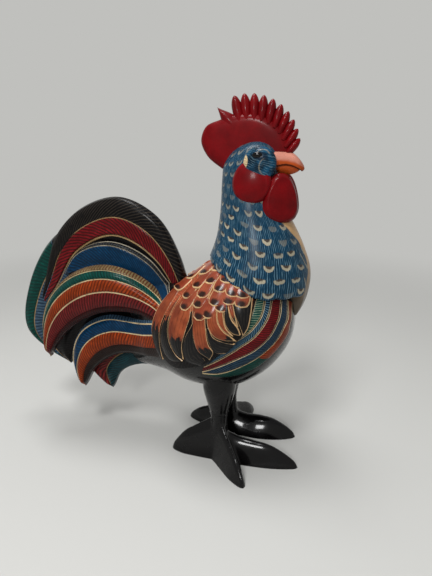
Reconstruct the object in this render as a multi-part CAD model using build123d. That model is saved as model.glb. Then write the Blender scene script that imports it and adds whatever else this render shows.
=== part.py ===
from build123d import *
import os

# Carved and lacquered wooden rooster, glued up from blocks, plates and dowels.
# Millimetres. +X is forward (the beak), +Y is the bird's left, +Z is up.
# While modelling, x = 0 is near the legs; at the end all pieces are moved so that
# the origin is at the bottom centre of the whole bird.

# Fits
GLUE_GAP = 0.15
PEG_CLEARANCE = 0.1

# Torso: stations along X as (x, centre z, half height, half width)
TORSO_FRONT = (61.0, 129.0)
TORSO_STATIONS = [
    (58.5, 129.0, 19.5, 20.0),
    (52.0, 128.0, 32.0, 31.0),
    (40.0, 124.0, 43.5, 38.5),
    (22.0, 120.5, 53.5, 44.0),
    (5.0, 117.5, 57.0, 46.0),
    (-13.0, 113.5, 53.0, 45.5),
    (-28.0, 109.5, 47.0, 42.0),
    (-48.0, 109.5, 41.5, 33.0),
    (-68.0, 108.5, 39.0, 21.0),
    (-84.0, 106.0, 36.0, 10.0),
]

# Neck and head: stations along Z as (z, centre x, half length, half width)
NECK_STATIONS = [
    (118.0, 20.0, 32.0, 26.0),
    (134.0, 24.0, 39.0, 33.0),
    (150.0, 26.5, 43.2, 36.5),
    (168.0, 28.5, 42.2, 36.5),
    (186.0, 29.0, 36.0, 32.0),
    (205.0, 26.0, 29.5, 26.0),
    (222.0, 21.5, 23.5, 20.5),
    (236.0, 20.5, 22.0, 18.0),
    (249.0, 21.5, 21.3, 16.5),
    (258.5, 23.5, 16.5, 12.5),
    (263.5, 25.0, 10.0, 7.5),
]
HEAD_TOP = (25.5, 266.0)
HEAD_JOINT_Z = 229.0

# Glue joint between torso and neck: a sloping face behind, a level face in front
CAPE_BACK = (-14.0, 176.0)
CAPE_KNEE = (34.0, 151.0)
CHEST_LOBE_HALF_WIDTH = 13.0

# Comb: a disc with a back lobe and teeth, standing in a groove of the head
COMB_THICKNESS = 9.0
COMB_CENTRE = (20.0, 258.0)
COMB_DISC_RADIUS = 27.5
COMB_LOBE_CENTRE = (-4.5, 267.0)
COMB_LOBE_RADIUS = 13.6
COMB_NAPE = [(-14.0, 256.5), (3.0, 247.5)]
COMB_GROOVE_CENTRE = (21.5, 240.0)
COMB_GROOVE_RADIUS = 18.0
COMB_FRONT_X = 33.0
COMB_FRONT_Z = 258.4
TOOTH_COUNT = 10
TOOTH_FIRST_ANGLE = 15.0
TOOTH_LAST_ANGLE = 108.0
TOOTH_BACK_ANGLE = 129.0
TOOTH_TIP_RADIUS = 40.0
TOOTH_LENGTH = 17.0
TOOTH_WIDTH = 5.6

# Beak: stations along X as (x, centre z, half height, half width)
BEAK_STATIONS = [
    (33.0, 250.3, 8.4, 8.6),
    (45.0, 250.0, 8.2, 7.4),
    (53.5, 249.2, 6.6, 5.4),
    (58.8, 247.6, 3.7, 3.0),
]
BEAK_TIP = (61.3, 246.0)
MOUTH_ARC = [(36.0, 247.8), (49.0, 252.4), (62.0, 246.6)]
MOUTH_GAP = 0.3

# Pads on the left side of the head: centre (x, y, z), radii (x, y, z) and turn toward the beak
FACE_DISC_CENTRE = (30.0, 13.8, 249.5)
FACE_DISC_RADII = (11.8, 5.2, 11.8)
EYE_OFFSET = (0.0, 4.5, 5.5)
EYE_RADII = (4.2, 2.4, 2.7)
EAR_LOBE_CENTRE = (23.5, 16.5, 235.5)
EAR_LOBE_RADII = (14.2, 6.0, 14.4)
WATTLE_CENTRE = (45.0, 10.5, 223.5)
WATTLE_RADII = (14.2, 6.4, 17.0)
WATTLE_TURN = 28.0

# Wing shell and its outline in side view, from the back over the tip to the shoulder
WING_THICKNESS = 4.0
WING_OUTLINE = [
    (-27.0, 178.0),
    (-42.0, 148.0),
    (-50.0, 122.0),
    (-44.0, 103.0),
    (-27.0, 94.0),
    (-6.0, 93.0),
    (12.0, 107.0),
    (25.0, 126.0),
    (33.0, 150.0),
    (33.0, 178.0),
]

# Tail plates in side view: outer edge from root to tip, inner edge from tip to root
SICKLE_THICKNESS = 11.0
SICKLE_OUTER = [(-31, 148), (-39, 175), (-58, 207), (-89, 222), (-128, 212), (-157, 184), (-169, 147), (-177, 120)]
SICKLE_INNER = [(-177, 120), (-160, 142), (-133, 176), (-97, 191), (-59, 171), (-43, 146)]
CENTRE_PLATE_THICKNESS = 9.0
CENTRE_UPPER_OUTER = [(-40, 140), (-66, 188), (-105, 207), (-152, 190), (-190, 140), (-199, 96), (-156, 61)]
CENTRE_UPPER_INNER = [(-156, 61), (-160, 84), (-140, 104), (-105, 112), (-60, 104)]
CENTRE_LOWER_OUTER = [(-60, 103), (-95, 104), (-122, 90), (-133, 62), (-112, 39)]
CENTRE_LOWER_INNER = [(-112, 39), (-99, 58), (-78, 68), (-50, 66)]
FEATHER_THICKNESS = 6.0
FEATHER_OUTER = [(-43, 146), (-61, 172), (-101, 185), (-138, 167), (-159, 138), (-168, 112)]
FEATHER_INNER = [(-168, 112), (-148, 132), (-120, 142), (-90, 142), (-55, 125)]
PLUME_THICKNESS = 13.0
PLUME_SPLAY = 2.5
PLUME_SPLAY_X = -28.0
UPPER_OUTER = [(-40, 132), (-72, 157.5), (-100, 163.5), (-132, 153), (-154, 134), (-165, 100), (-160.5, 77)]
UPPER_INNER = [(-160.5, 77), (-141, 105), (-102, 126), (-62, 121), (-40, 112)]
LOWER_OUTER = [(-40, 108), (-62, 119.5), (-103, 121.5), (-132, 103), (-140.5, 74), (-130.5, 48)]
LOWER_INNER = [(-130.5, 48), (-118, 67), (-93, 85.5), (-71, 84), (-45, 76)]

# Legs: stations as (z, radius) down to the ankle, round tenons at both ends
LEG_X = 1.5
LEG_Y = 21.0
LEG_STATIONS = [(80.0, 14.5), (69.0, 12.0), (56.0, 8.8), (44.0, 6.6)]
ANKLE_Z = 33.0
ANKLE_RADIUS = 6.0
LEG_TENON_RADIUS = 4.0
LEG_TENON_TOP_Z = 92.0
LEG_TENON_BOTTOM_Z = 12.0

# Feet: a hub and three toes (front, outer, hind); the carver gave each foot its own toe tips
HUB_RADIUS = 12.0
TOE_TIPS_LEFT = [(67.0, 22.0), (20.0, 57.5), (-41.0, 27.0)]
TOE_TIPS_RIGHT = [(72.0, 26.0), (29.0, 57.5), (-42.0, 25.0)]
# Toe stations as (share of the toe's length, width, ridge height)
TOE_STATIONS = [(0.0, 20.0, 31.0), (0.3, 17.0, 23.5), (0.65, 12.5, 15.5), (0.9, 7.5, 8.5), (1.0, 2.6, 3.6)]

# Dowels
NECK_DOWEL_RADIUS = 6.0
NECK_DOWEL_LENGTH = 50.0
HEAD_DOWEL_RADIUS = 4.0
HEAD_DOWEL_LENGTH = 28.0
BEAK_DOWEL_RADIUS = 1.5
BEAK_DOWEL_LENGTH = 16.0
BEAK_DOWEL_START = (33.0, 254.6)
TAIL_DOWEL_RADIUS = 3.0
TAIL_DOWEL_LENGTH = 36.0
CENTRE_DOWEL_X = -70.0
CENTRE_DOWEL_HEIGHTS = (125.0, 88.0)
SIDE_DOWEL_X = -42.0
UPPER_DOWEL_Z = 132.0
LOWER_DOWEL_Z = 102.0

# Reach of the cutting tools, larger than the bird
REACH = 400.0


# Shared shapes

def cross_section(x, z, half_height, half_width):
    """Ellipse standing across the X axis."""
    plane = Plane(origin=(x, 0, z), x_dir=(0, 1, 0), z_dir=(1, 0, 0))
    return plane * Ellipse(half_width, half_height)


def level_section(z, x, half_length, half_width):
    """Ellipse lying level at height z."""
    return Plane(origin=(x, 0, z)) * Ellipse(half_length, half_width)


def plate(sketch, thickness, y=0.0):
    """Side-view sketch (X to the right, Z up) thickened evenly about the plane at y."""
    return Pos(0, y, 0) * extrude(Plane.XZ * sketch, amount=thickness / 2, both=True)


def pad(centre, radii, turn=0.0):
    """Ellipsoid, turned about the Z axis."""
    return Pos(*centre) * Rot(0, 0, -turn) * scale(Sphere(1.0), by=radii)


def rod(start, direction, radius, length):
    """Round rod from a start point along a direction."""
    axis = Plane(origin=start, z_dir=direction)
    return axis * Cylinder(radius, length, align=(Align.CENTER, Align.CENTER, Align.MIN))


def to_right(shape):
    """Mirror image on the bird's right side."""
    return mirror(shape, about=Plane.XZ)


# Torso, neck and head blocks

def torso_block(extra=0.0):
    """Egg-shaped body; extra swells it for the wing shells."""
    sections = [Vertex(TORSO_FRONT[0] + extra, 0, TORSO_FRONT[1])]
    for x, z, half_height, half_width in TORSO_STATIONS:
        sections.append(cross_section(x, z, half_height + extra, half_width + extra))
    return loft(sections)


def neck_and_head_block():
    """Chest, neck and head in one smooth block."""
    sections = [level_section(*station) for station in NECK_STATIONS]
    sections.append(Vertex(HEAD_TOP[0], 0, HEAD_TOP[1]))
    return loft(sections)


def space_above_cape_edge():
    """Everything above the glue joint between torso and neck."""
    slope = (CAPE_BACK[1] - CAPE_KNEE[1]) / (CAPE_BACK[0] - CAPE_KNEE[0])
    back_z = CAPE_KNEE[1] - slope * (REACH + CAPE_KNEE[0])
    outline = Polyline(
        (-REACH, back_z),
        CAPE_KNEE,
        (REACH, CAPE_KNEE[1]),
        (REACH, REACH),
        (-REACH, REACH),
        close=True,
    )
    return plate(make_face(outline), REACH)


def space_above_head_joint():
    """Everything above the level joint between neck and head."""
    return Pos(0, 0, HEAD_JOINT_Z) * Box(REACH, REACH, REACH, align=(Align.CENTER, Align.CENTER, Align.MIN))


def chest_lobe(block, torso):
    """Pale chest strip, running down over the front of the torso."""
    corner = Pos(CAPE_KNEE[0], 0, CAPE_KNEE[1])
    strip = Box(REACH, 2 * CHEST_LOBE_HALF_WIDTH, REACH, align=(Align.MIN, Align.CENTER, Align.MAX))
    return (block & corner * strip) - torso


# Comb and beak

def comb_sketch():
    """Comb outline in side view, with its foot in the groove of the head."""
    disc = Pos(*COMB_CENTRE) * Circle(COMB_DISC_RADIUS)
    lobe = Pos(*COMB_LOBE_CENTRE) * Circle(COMB_LOBE_RADIUS)
    outline = make_hull(disc.edges() + lobe.edges())
    step = (TOOTH_LAST_ANGLE - TOOTH_FIRST_ANGLE) / (TOOTH_COUNT - 1)
    angles = [TOOTH_FIRST_ANGLE + step * i for i in range(TOOTH_COUNT)] + [TOOTH_BACK_ANGLE]
    for angle in angles:
        tooth = Pos(TOOTH_TIP_RADIUS - TOOTH_LENGTH / 2, 0) * Ellipse(TOOTH_LENGTH / 2, TOOTH_WIDTH / 2)
        outline += Pos(*COMB_CENTRE) * Rot(0, 0, angle) * tooth
    back, nape = COMB_NAPE
    slope = (nape[1] - back[1]) / (nape[0] - back[0])
    keep = Polyline(
        (-REACH, back[1] - slope * (REACH + back[0])),
        nape,
        COMB_GROOVE_CENTRE,
        (COMB_FRONT_X, COMB_FRONT_Z),
        (REACH, COMB_FRONT_Z),
        (REACH, 2 * REACH),
        (-REACH, 2 * REACH),
        close=True,
    )
    return (outline & make_face(keep)) - Pos(*COMB_GROOVE_CENTRE) * Circle(COMB_GROOVE_RADIUS)


def beak_block():
    """Both halves of the beak in one block."""
    sections = [cross_section(*station) for station in BEAK_STATIONS]
    sections.append(Vertex(BEAK_TIP[0], 0, BEAK_TIP[1]))
    return loft(sections)


def space_below_mouth():
    """Everything below the arched mouth line."""
    start, middle, end = MOUTH_ARC
    rest = Polyline(end, (REACH, end[1]), (REACH, 0), (-REACH, 0), (-REACH, start[1]), start)
    return plate(make_face([ThreePointArc(start, middle, end), rest]), REACH)


# Wing and tail

def wing_shell(torso, swollen_torso, neck_space):
    """Left wing: a shell on the flank, cut to the wing outline."""
    face = make_face([Spline(*WING_OUTLINE), Line(WING_OUTLINE[-1], WING_OUTLINE[0])])
    flank = plate(face, REACH, y=REACH / 2 + GLUE_GAP / 2)
    return (swollen_torso & flank) - torso - neck_space


def plume_sketch(outer, inner):
    """Plume outline in side view between its outer and inner edges."""
    return make_face([Spline(*outer), Spline(*inner), Line(inner[-1], outer[0])])


def side_plume(outer, inner, thickness, inside_y, splay):
    """Left plume standing on the plane at inside_y, splayed outward."""
    flat = plate(plume_sketch(outer, inner), thickness, y=thickness / 2)
    return Pos(PLUME_SPLAY_X, inside_y, 0) * Rot(0, 0, -splay) * Pos(-PLUME_SPLAY_X, 0, 0) * flat


def feather_inside_y():
    """Inside face of the side feathers and lower plumes, on the centre plate."""
    return CENTRE_PLATE_THICKNESS / 2 + GLUE_GAP


def upper_inside_y():
    """Inside face of the upper plumes, on the side feathers."""
    return feather_inside_y() + FEATHER_THICKNESS + GLUE_GAP


# Legs and feet

def leg_column(torso):
    """Left leg, shaped to the belly, with a tenon at each end."""
    sections = [Pos(LEG_X, LEG_Y, z) * Circle(radius) for z, radius in LEG_STATIONS]
    sections.append(Pos(LEG_X, LEG_Y, ANKLE_Z) * Circle(ANKLE_RADIUS))
    return (loft(sections) - torso) + leg_tenon(0.0)


def leg_tenon(clearance):
    """Tenon rod through the left leg, or its hole when given a clearance."""
    start = (LEG_X, LEG_Y, LEG_TENON_BOTTOM_Z)
    return rod(start, (0, 0, 1), LEG_TENON_RADIUS + clearance, LEG_TENON_TOP_Z - LEG_TENON_BOTTOM_Z)


def toe(tip):
    """Ridged toe with a flat sole, from the hub to the tip."""
    run = Vector(tip[0] - LEG_X, tip[1] - LEG_Y, 0)
    side = Vector(0, 0, 1).cross(run)
    sections = []
    for share, width, ridge in TOE_STATIONS:
        # A curve with its two middle points at this height peaks at the ridge height
        crown = ridge / 0.75
        ridge_line = Bezier((-width / 2, 0), (-width / 6, crown), (width / 6, crown), (width / 2, 0))
        sketch = make_face([ridge_line, Line((width / 2, 0), (-width / 2, 0))])
        at = Vector(LEG_X, LEG_Y, 0) + run * share
        sections.append(Plane(origin=at, x_dir=side, z_dir=run) * sketch)
    return loft(sections)


def foot_star(tips):
    """Left foot: hub and toes in one piece, with a socket for the leg."""
    foot = loft([Pos(LEG_X, LEG_Y, 0) * Circle(HUB_RADIUS), Pos(LEG_X, LEG_Y, ANKLE_Z) * Circle(ANKLE_RADIUS)])
    for tip in tips:
        foot += toe(tip)
    return foot - leg_tenon(PEG_CLEARANCE)


# Dowels

def neck_dowel(clearance):
    """Dowel square to the sloping glue joint under the neck."""
    middle = Vector((CAPE_BACK[0] + CAPE_KNEE[0]) / 2, 0, (CAPE_BACK[1] + CAPE_KNEE[1]) / 2)
    normal = Vector(CAPE_BACK[1] - CAPE_KNEE[1], 0, CAPE_KNEE[0] - CAPE_BACK[0]).normalized()
    start = middle - normal * (NECK_DOWEL_LENGTH / 2)
    return rod(start, normal, NECK_DOWEL_RADIUS + clearance, NECK_DOWEL_LENGTH)


def head_dowel(clearance):
    """Upright dowel between neck and head."""
    start = (COMB_GROOVE_CENTRE[0], 0, HEAD_JOINT_Z - HEAD_DOWEL_LENGTH / 2)
    return rod(start, (0, 0, 1), HEAD_DOWEL_RADIUS + clearance, HEAD_DOWEL_LENGTH)


def beak_dowel(clearance):
    """Thin dowel from the head into the upper beak."""
    start = (BEAK_DOWEL_START[0], 0, BEAK_DOWEL_START[1])
    return rod(start, (1, 0, 0), BEAK_DOWEL_RADIUS + clearance, BEAK_DOWEL_LENGTH)


def tail_dowels(clearance):
    """Dowels from the torso into the tail, as a list."""
    radius = TAIL_DOWEL_RADIUS + clearance
    rods = [rod((CENTRE_DOWEL_X, 0, z), (-1, 0, 0), radius, TAIL_DOWEL_LENGTH) for z in CENTRE_DOWEL_HEIGHTS]
    backward = Vector(-1, 0, 0).rotate(Axis.Z, -PLUME_SPLAY)
    splay_y = (PLUME_SPLAY_X - SIDE_DOWEL_X) * backward.Y
    for inside_y, z in ((upper_inside_y(), UPPER_DOWEL_Z), (feather_inside_y(), LOWER_DOWEL_Z)):
        start = (SIDE_DOWEL_X, inside_y + PLUME_THICKNESS / 2 + splay_y, z)
        left = rod(start, backward, radius, TAIL_DOWEL_LENGTH)
        rods += [left, to_right(left)]
    return rods


# Pieces of the bird

def with_both_sides(nodes, name, left_piece):
    """Add a left piece and its mirror image."""
    nodes[name + "_left"] = left_piece
    nodes[name + "_right"] = to_right(left_piece)


def add_blocks(nodes, torso, tower, neck_space):
    """Torso, neck and the dowel between them."""
    tenon_hole = leg_tenon(PEG_CLEARANCE)
    dowel_hole = neck_dowel(PEG_CLEARANCE)
    holes = [dowel_hole, tenon_hole, to_right(tenon_hole)] + tail_dowels(PEG_CLEARANCE)
    nodes["torso"] = torso - neck_space - holes
    neck = ((tower & neck_space) - space_above_head_joint()) + chest_lobe(tower, torso)
    nodes["neck"] = neck - dowel_hole - head_dowel(PEG_CLEARANCE)
    nodes["neck_dowel"] = neck_dowel(0.0)


def add_head(nodes, tower):
    """Head with comb, beak, cheeks, eyes, ear lobes and wattles."""
    comb = comb_sketch()
    groove = plate(comb, COMB_THICKNESS + 2 * PEG_CLEARANCE)
    peg_hole = beak_dowel(PEG_CLEARANCE)
    nodes["head"] = (tower & space_above_head_joint()) - groove - head_dowel(PEG_CLEARANCE) - peg_hole
    nodes["comb"] = plate(comb, COMB_THICKNESS)
    beak = beak_block() - tower - groove
    below_mouth = space_below_mouth()
    nodes["beak_upper"] = beak - Pos(0, 0, MOUTH_GAP / 2) * below_mouth - peg_hole
    nodes["beak_lower"] = beak & Pos(0, 0, -MOUTH_GAP / 2) * below_mouth
    nodes["head_dowel"] = head_dowel(0.0)
    nodes["beak_dowel"] = beak_dowel(0.0)

    eye = Pos(*EYE_OFFSET) * pad(FACE_DISC_CENTRE, EYE_RADII)
    disc = pad(FACE_DISC_CENTRE, FACE_DISC_RADII) - tower - beak - groove
    ear_lobe = pad(EAR_LOBE_CENTRE, EAR_LOBE_RADII) - tower - disc
    wattle_space = Box(REACH, REACH, REACH, align=(Align.CENTER, Align.MIN, Align.CENTER))
    wattle = pad(WATTLE_CENTRE, WATTLE_RADII, WATTLE_TURN) - tower - beak - disc - ear_lobe
    wattle = wattle & Pos(0, GLUE_GAP / 2, WATTLE_CENTRE[2]) * wattle_space
    with_both_sides(nodes, "eye", eye)
    with_both_sides(nodes, "face_disc", disc - eye)
    with_both_sides(nodes, "ear_lobe", ear_lobe)
    with_both_sides(nodes, "wattle", wattle)


def add_tail(nodes, torso, wing):
    """Sickle and centre plates on the middle plane, feathers and plumes on both sides."""
    dowel_holes = tail_dowels(PEG_CLEARANCE)
    root = [torso, wing, to_right(wing)]
    sickle = plate(plume_sketch(SICKLE_OUTER, SICKLE_INNER), SICKLE_THICKNESS) - root
    centre_upper = plate(plume_sketch(CENTRE_UPPER_OUTER, CENTRE_UPPER_INNER), CENTRE_PLATE_THICKNESS) - root - sickle
    centre_lower = plate(plume_sketch(CENTRE_LOWER_OUTER, CENTRE_LOWER_INNER), CENTRE_PLATE_THICKNESS)
    nodes["tail_sickle"] = sickle
    nodes["tail_center_upper"] = centre_upper - dowel_holes
    nodes["tail_center_lower"] = centre_lower - root - centre_upper - dowel_holes

    feather = side_plume(FEATHER_OUTER, FEATHER_INNER, FEATHER_THICKNESS, feather_inside_y(), 0.0)
    upper = side_plume(UPPER_OUTER, UPPER_INNER, PLUME_THICKNESS, upper_inside_y(), PLUME_SPLAY)
    lower = side_plume(LOWER_OUTER, LOWER_INNER, PLUME_THICKNESS, feather_inside_y(), PLUME_SPLAY)
    with_both_sides(nodes, "tail_feather", feather - root - sickle)
    with_both_sides(nodes, "tail_upper", upper - root - dowel_holes)
    with_both_sides(nodes, "tail_lower", lower - root - feather - upper - dowel_holes)
    nodes["tail_dowels"] = tail_dowels(0.0)


def make_nodes():
    """All pieces by node name, each a part or a list of parts."""
    nodes = {}
    torso = torso_block()
    tower = neck_and_head_block()
    neck_space = space_above_cape_edge()
    add_blocks(nodes, torso, tower, neck_space)
    add_head(nodes, tower)
    wing = wing_shell(torso, torso_block(WING_THICKNESS), neck_space)
    with_both_sides(nodes, "wing", wing)
    add_tail(nodes, torso, wing)
    with_both_sides(nodes, "leg", leg_column(torso))
    nodes["foot_left"] = foot_star(TOE_TIPS_LEFT)
    nodes["foot_right"] = to_right(foot_star(TOE_TIPS_RIGHT))
    return nodes


def write_nodes(nodes):
    """Move all pieces to the shared origin and write one file per node."""
    os.makedirs("parts", exist_ok=True)
    groups = {name: piece if isinstance(piece, list) else [piece] for name, piece in nodes.items()}
    everything = [part for group in groups.values() for part in group]
    box = Compound(children=[solid for part in everything for solid in part.solids()]).bounding_box()
    to_origin = Pos(-(box.min.X + box.max.X) / 2, 0, -box.min.Z)
    for name, group in groups.items():
        solids = [to_origin * solid for part in group for solid in part.solids()]
        export_step(Compound(children=solids), "parts/" + name + ".step")
        print(name, len(solids), round(sum(solid.volume for solid in solids)))
    print("moved by", to_origin.position, "size", box.size)


write_nodes(make_nodes())
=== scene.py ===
from math import cos, pi, radians, sin

import bmesh
import bpy
import numpy as np
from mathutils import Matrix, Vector


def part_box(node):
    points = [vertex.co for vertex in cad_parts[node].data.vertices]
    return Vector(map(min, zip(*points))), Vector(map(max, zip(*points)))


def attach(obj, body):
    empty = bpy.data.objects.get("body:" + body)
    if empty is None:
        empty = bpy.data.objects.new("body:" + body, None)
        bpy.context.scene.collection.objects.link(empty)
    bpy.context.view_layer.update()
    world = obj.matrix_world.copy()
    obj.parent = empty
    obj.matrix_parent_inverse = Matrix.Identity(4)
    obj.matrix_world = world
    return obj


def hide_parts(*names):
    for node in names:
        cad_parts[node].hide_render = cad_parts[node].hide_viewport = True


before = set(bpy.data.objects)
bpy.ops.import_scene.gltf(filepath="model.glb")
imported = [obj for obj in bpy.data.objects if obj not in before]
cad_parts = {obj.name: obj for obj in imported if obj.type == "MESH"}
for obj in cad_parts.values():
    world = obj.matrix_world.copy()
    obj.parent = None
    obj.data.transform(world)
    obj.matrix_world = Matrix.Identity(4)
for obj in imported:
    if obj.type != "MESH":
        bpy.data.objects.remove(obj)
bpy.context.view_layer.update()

# The rooster's looks: every visible piece as a carved mesh with its own painted, lacquered finish.
# Shapes are written in millimetres in the carver's frame: x = 0 near the legs, +X is the beak,
# +Y is the bird's left and +Z is up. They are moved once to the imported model's frame, in metres.
# Pieces of a pair are shaped on the bird's right side (-Y) and mirrored.

MM = 0.001

# The upright dowel in the head tells where the carver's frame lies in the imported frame
HEAD_DOWEL_X = 21.5
dowel_low, dowel_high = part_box("head_dowel")
SHIFT = np.array(((dowel_low[0] + dowel_high[0]) / 2 - HEAD_DOWEL_X * MM, 0.0, 0.0))

# Torso: stations along X as (x, centre z, half height, half width)
TORSO_STATIONS = [
    (61, 129, 0, 0),
    (58.5, 129, 19.5, 20),
    (52, 128, 32, 31),
    (40, 124, 43.5, 38.5),
    (22, 120.5, 53.5, 44),
    (5, 117.5, 57, 46),
    (-13, 113.5, 53, 45.5),
    (-28, 109.5, 47, 42),
    (-48, 109.5, 41.5, 33),
    (-68, 108.5, 39, 21),
    (-84, 106, 36, 10),
]
# Length of a degree round the flank
ARC = 0.87

# Neck and head: stations along Z as (z, centre x, half length, half width)
NECK_STATIONS = [
    (118, 20, 32, 26),
    (134, 24, 39, 33),
    (150, 26.5, 43.2, 36.5),
    (168, 28.5, 42.2, 36.5),
    (186, 29, 36, 32),
    (205, 26, 29.5, 26),
    (222, 21.5, 23.5, 20.5),
    (236, 20.5, 22, 18),
    (249, 21.5, 21.3, 16.5),
    (258.5, 23.5, 16.5, 12.5),
    (263.5, 25, 10, 7.5),
    (266, 25.5, 0, 0),
]
# Lower edge of the hackle as (x, z): its end at the back and its knee, in front of which it is level
CAPE_BACK = (-14, 176)
CAPE_KNEE = (34, 151)
# Reach and mean radius of the cape's edge round its centre
CAPE_CENTRE_X = 27
CAPE_REACH = 43
CAPE_MEAN_RADIUS = 41
CAPE_SCALLOP_DEPTH = 1.9
# The edge swells out, up to where the swelling fades, and its lip is rounded
CAPE_SWELL = 0.9
CAPE_SWELL_END = (4, 22)
CAPE_LIP = 1.6
# The underside of the edge runs to this place in the torso
CAPE_ROOT = (26, 0, 140)
# Distances from the front between which the chest lobe ends
CHEST_LOBE_EDGE = (9, 20)
CHEST_LOBE_LOW_Z = 131
# Pale chest strip as (z, half width)
CHEST_STRIP = [(130, 16), (150, 18), (162, 13), (171, 9.5), (181, 7.5), (191, 9),
               (200, 13), (210, 16), (222, 12), (234, 1)]
HACKLE_COLUMNS = 18
HACKLE_ROWS = 9
HACKLE_TOP_Z = 238

# Comb
COMB_CENTRE = (20, 258)
COMB_THICKNESS = 9
# The plate swells toward this place; a higher fullness keeps it thick up to its rim
COMB_MIDDLE = (14, 264)
COMB_FULLNESS = 11
COMB_OUTLINE = [(49.5, 256), (48.5, 266.5), (39.5, 277.5), (24, 285), (9, 284.6), (-4, 281),
                (-14.5, 276.5), (-18.5, 266.5), (-14, 255.5), (-4, 247), (8, 241), (20, 241),
                (36, 247)]
# Teeth by the place of the tip round the comb, as (angle, distance, direction of the tooth, width, length)
TOOTH_COUNT = 10
TOOTH_THICKNESS = 0.98 * COMB_THICKNESS
FIRST_TOOTH = (14, 38, 50, 6.2, 15)
LAST_TOOTH = (108, 41.8, 105, 8, 20)
THORN = (129, 41, 134, 13, 20)
# Widths of a tooth and of the thorn along their length, as (share of the length, share of the width)
LEAF = [(0, 0.8), (0.25, 0.94), (0.5, 1), (0.72, 0.88), (0.88, 0.58), (0.96, 0.3), (1, 0)]
SPIKE = [(0, 1), (0.3, 0.9), (0.6, 0.56), (0.8, 0.26), (1, 0)]
# Thickness of both along their length, as (share of the length, share of the thickness)
TOOTH_TAPER = [(0, 1), (0.45, 1), (0.7, 0.78), (0.9, 0.4), (1, 0)]

# Beak: stations along X as (x, centre z, half height, half width), and the mouth line
BEAK_STATIONS = [
    (33, 250.3, 8.4, 8.8),
    (45, 250, 8.4, 7.8),
    (52.3, 249.2, 7.9, 6.2),
    (57.5, 247.6, 5, 4.4),
    (61.3, 246, 0, 0),
]
# Lower powers make the beak's section squarer
BEAK_POWER = 0.8
# The lower beak is narrower, hangs lower, stops short of the hooked tip and runs into the upper one
LOWER_BEAK_SHARE = 0.93
LOWER_BEAK_DEPTH = 1.06
LOWER_BEAK_END = 0.86
LOWER_BEAK_OVERLAP = 0.6
MOUTH_LINE = [(32, 245.2), (36, 246.3), (41, 247.6), (48.6, 248.6), (56, 246.4), (62, 242)]

# Pads of the head, on the left side: centre and radii
FACE_DISC_CENTRE = (30, 15.5, 249.5)
FACE_DISC_RADII = (12.2, 5.6, 12.2)
EYE_CENTRE = (28.6, 19.8, 255.4)
EYE_RADII = (3.8, 1.8, 2.3)
EAR_LOBE_CENTRE = (24.6, 16, 236.2)
EAR_LOBE_RADII = (14.8, 5.8, 16)
WATTLE_CENTRE = (45, 10.8, 224.5)
WATTLE_RADII = (13.2, 7, 18.4)
WATTLE_TURN = 28
# Height of the raised border of the lobes and wattles
PAD_RIM = 0.7
# Place and width of that border, as shares of the radius
PAD_RIM_PLACE = 0.86
PAD_RIM_WIDTH = 0.1

# Legs and feet
LEG_X = 1.5
LEG_Y = 21
# Leg and ankle as (z, radius); the leg also runs this far down into the ankle
LEG_STATIONS = [(44, 8.4), (50, 10.2), (58, 12.4), (68, 14.2), (76, 13.5), (84, 12)]
LEG_OVERLAP = 2
ANKLE = [(0, 12), (12, 10), (22, 8), (32, 7), (44, 8.4)]
# Toe stations as (share of the toe's length, width, ridge height)
FRONT_TOE = [(0, 27, 27), (0.25, 23.5, 20.5), (0.45, 21.5, 18.8), (0.65, 18, 17), (0.85, 11.2, 10.6),
             (1, 4, 3.5)]
LEFT_FRONT_TOE = [(0, 30, 26), (0.25, 28, 20.5), (0.45, 28, 21), (0.65, 24, 19.5),
                  (0.85, 15, 12.5), (1, 4, 4)]
SIDE_TOE = [(0, 23, 38), (0.25, 19, 28), (0.5, 16.5, 21.5), (0.75, 13, 15), (0.9, 8, 8.5),
            (1, 3.5, 3)]
RIGHT_HIND_TOE = [(0, 23, 40), (0.25, 21, 33), (0.5, 18, 26), (0.75, 14, 18), (0.9, 8.5, 9.5),
                  (1, 3.5, 3)]
LEFT_TOES = [((67, 17), LEFT_FRONT_TOE), ((20, 56), SIDE_TOE), ((-41, 27), SIDE_TOE)]
RIGHT_TOES = [((72, 25), FRONT_TOE), ((31, 60), SIDE_TOE), ((-42, 25), RIGHT_HIND_TOE)]
# Lower powers make a toe's crest sharper and its flanks straighter
CREST_POWER = 1.7
# Share of a toe's length from which its tip is rounded
TOE_TIP = 0.93
# Depth below the ground that is cut off after the toes are joined
SOLE_DEPTH = 4
# Cell size at which the toes are joined
FOOT_GRAIN = 0.8
# The left foot is the lower one
LEFT_TOE_SCALE = 0.8

# Tail plumes in side view: outer edge from root to tip, inner edge from tip to root
SICKLE_OUTER = [
    (-31, 148), (-39, 175), (-58, 207), (-89, 222), (-128, 212), (-157, 184), (-170, 147), (-179, 116),
]
SICKLE_INNER = [(-179, 116), (-158, 138), (-132, 173), (-97, 188), (-58, 168), (-42, 144)]
CENTRE_UPPER_OUTER = [(-40, 140), (-66, 186), (-105, 204), (-152, 190), (-190, 140), (-199, 96), (-154, 60)]
CENTRE_UPPER_INNER = [(-154, 60), (-146, 80), (-128, 100), (-100, 110), (-60, 104)]
CENTRE_LOWER_OUTER = [(-60, 103), (-95, 104), (-122, 90), (-133, 62), (-110, 39)]
CENTRE_LOWER_INNER = [(-110, 39), (-99, 58), (-78, 68), (-50, 66)]
FEATHER_OUTER = [(-37, 141), (-47, 152.5), (-63, 171), (-101, 185), (-130, 175), (-146, 153)]
FEATHER_INNER = [(-146, 153), (-124, 156), (-98, 156), (-75, 147), (-56, 133), (-38, 118)]
UPPER_OUTER = [(-36, 130), (-51, 144), (-73.5, 159.5), (-100.5, 166), (-133, 157), (-155, 136), (-165, 102),
               (-161, 76)]
UPPER_INNER = [(-162, 76), (-141, 103), (-102, 124), (-75, 126), (-56, 124), (-36, 117)]
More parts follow.
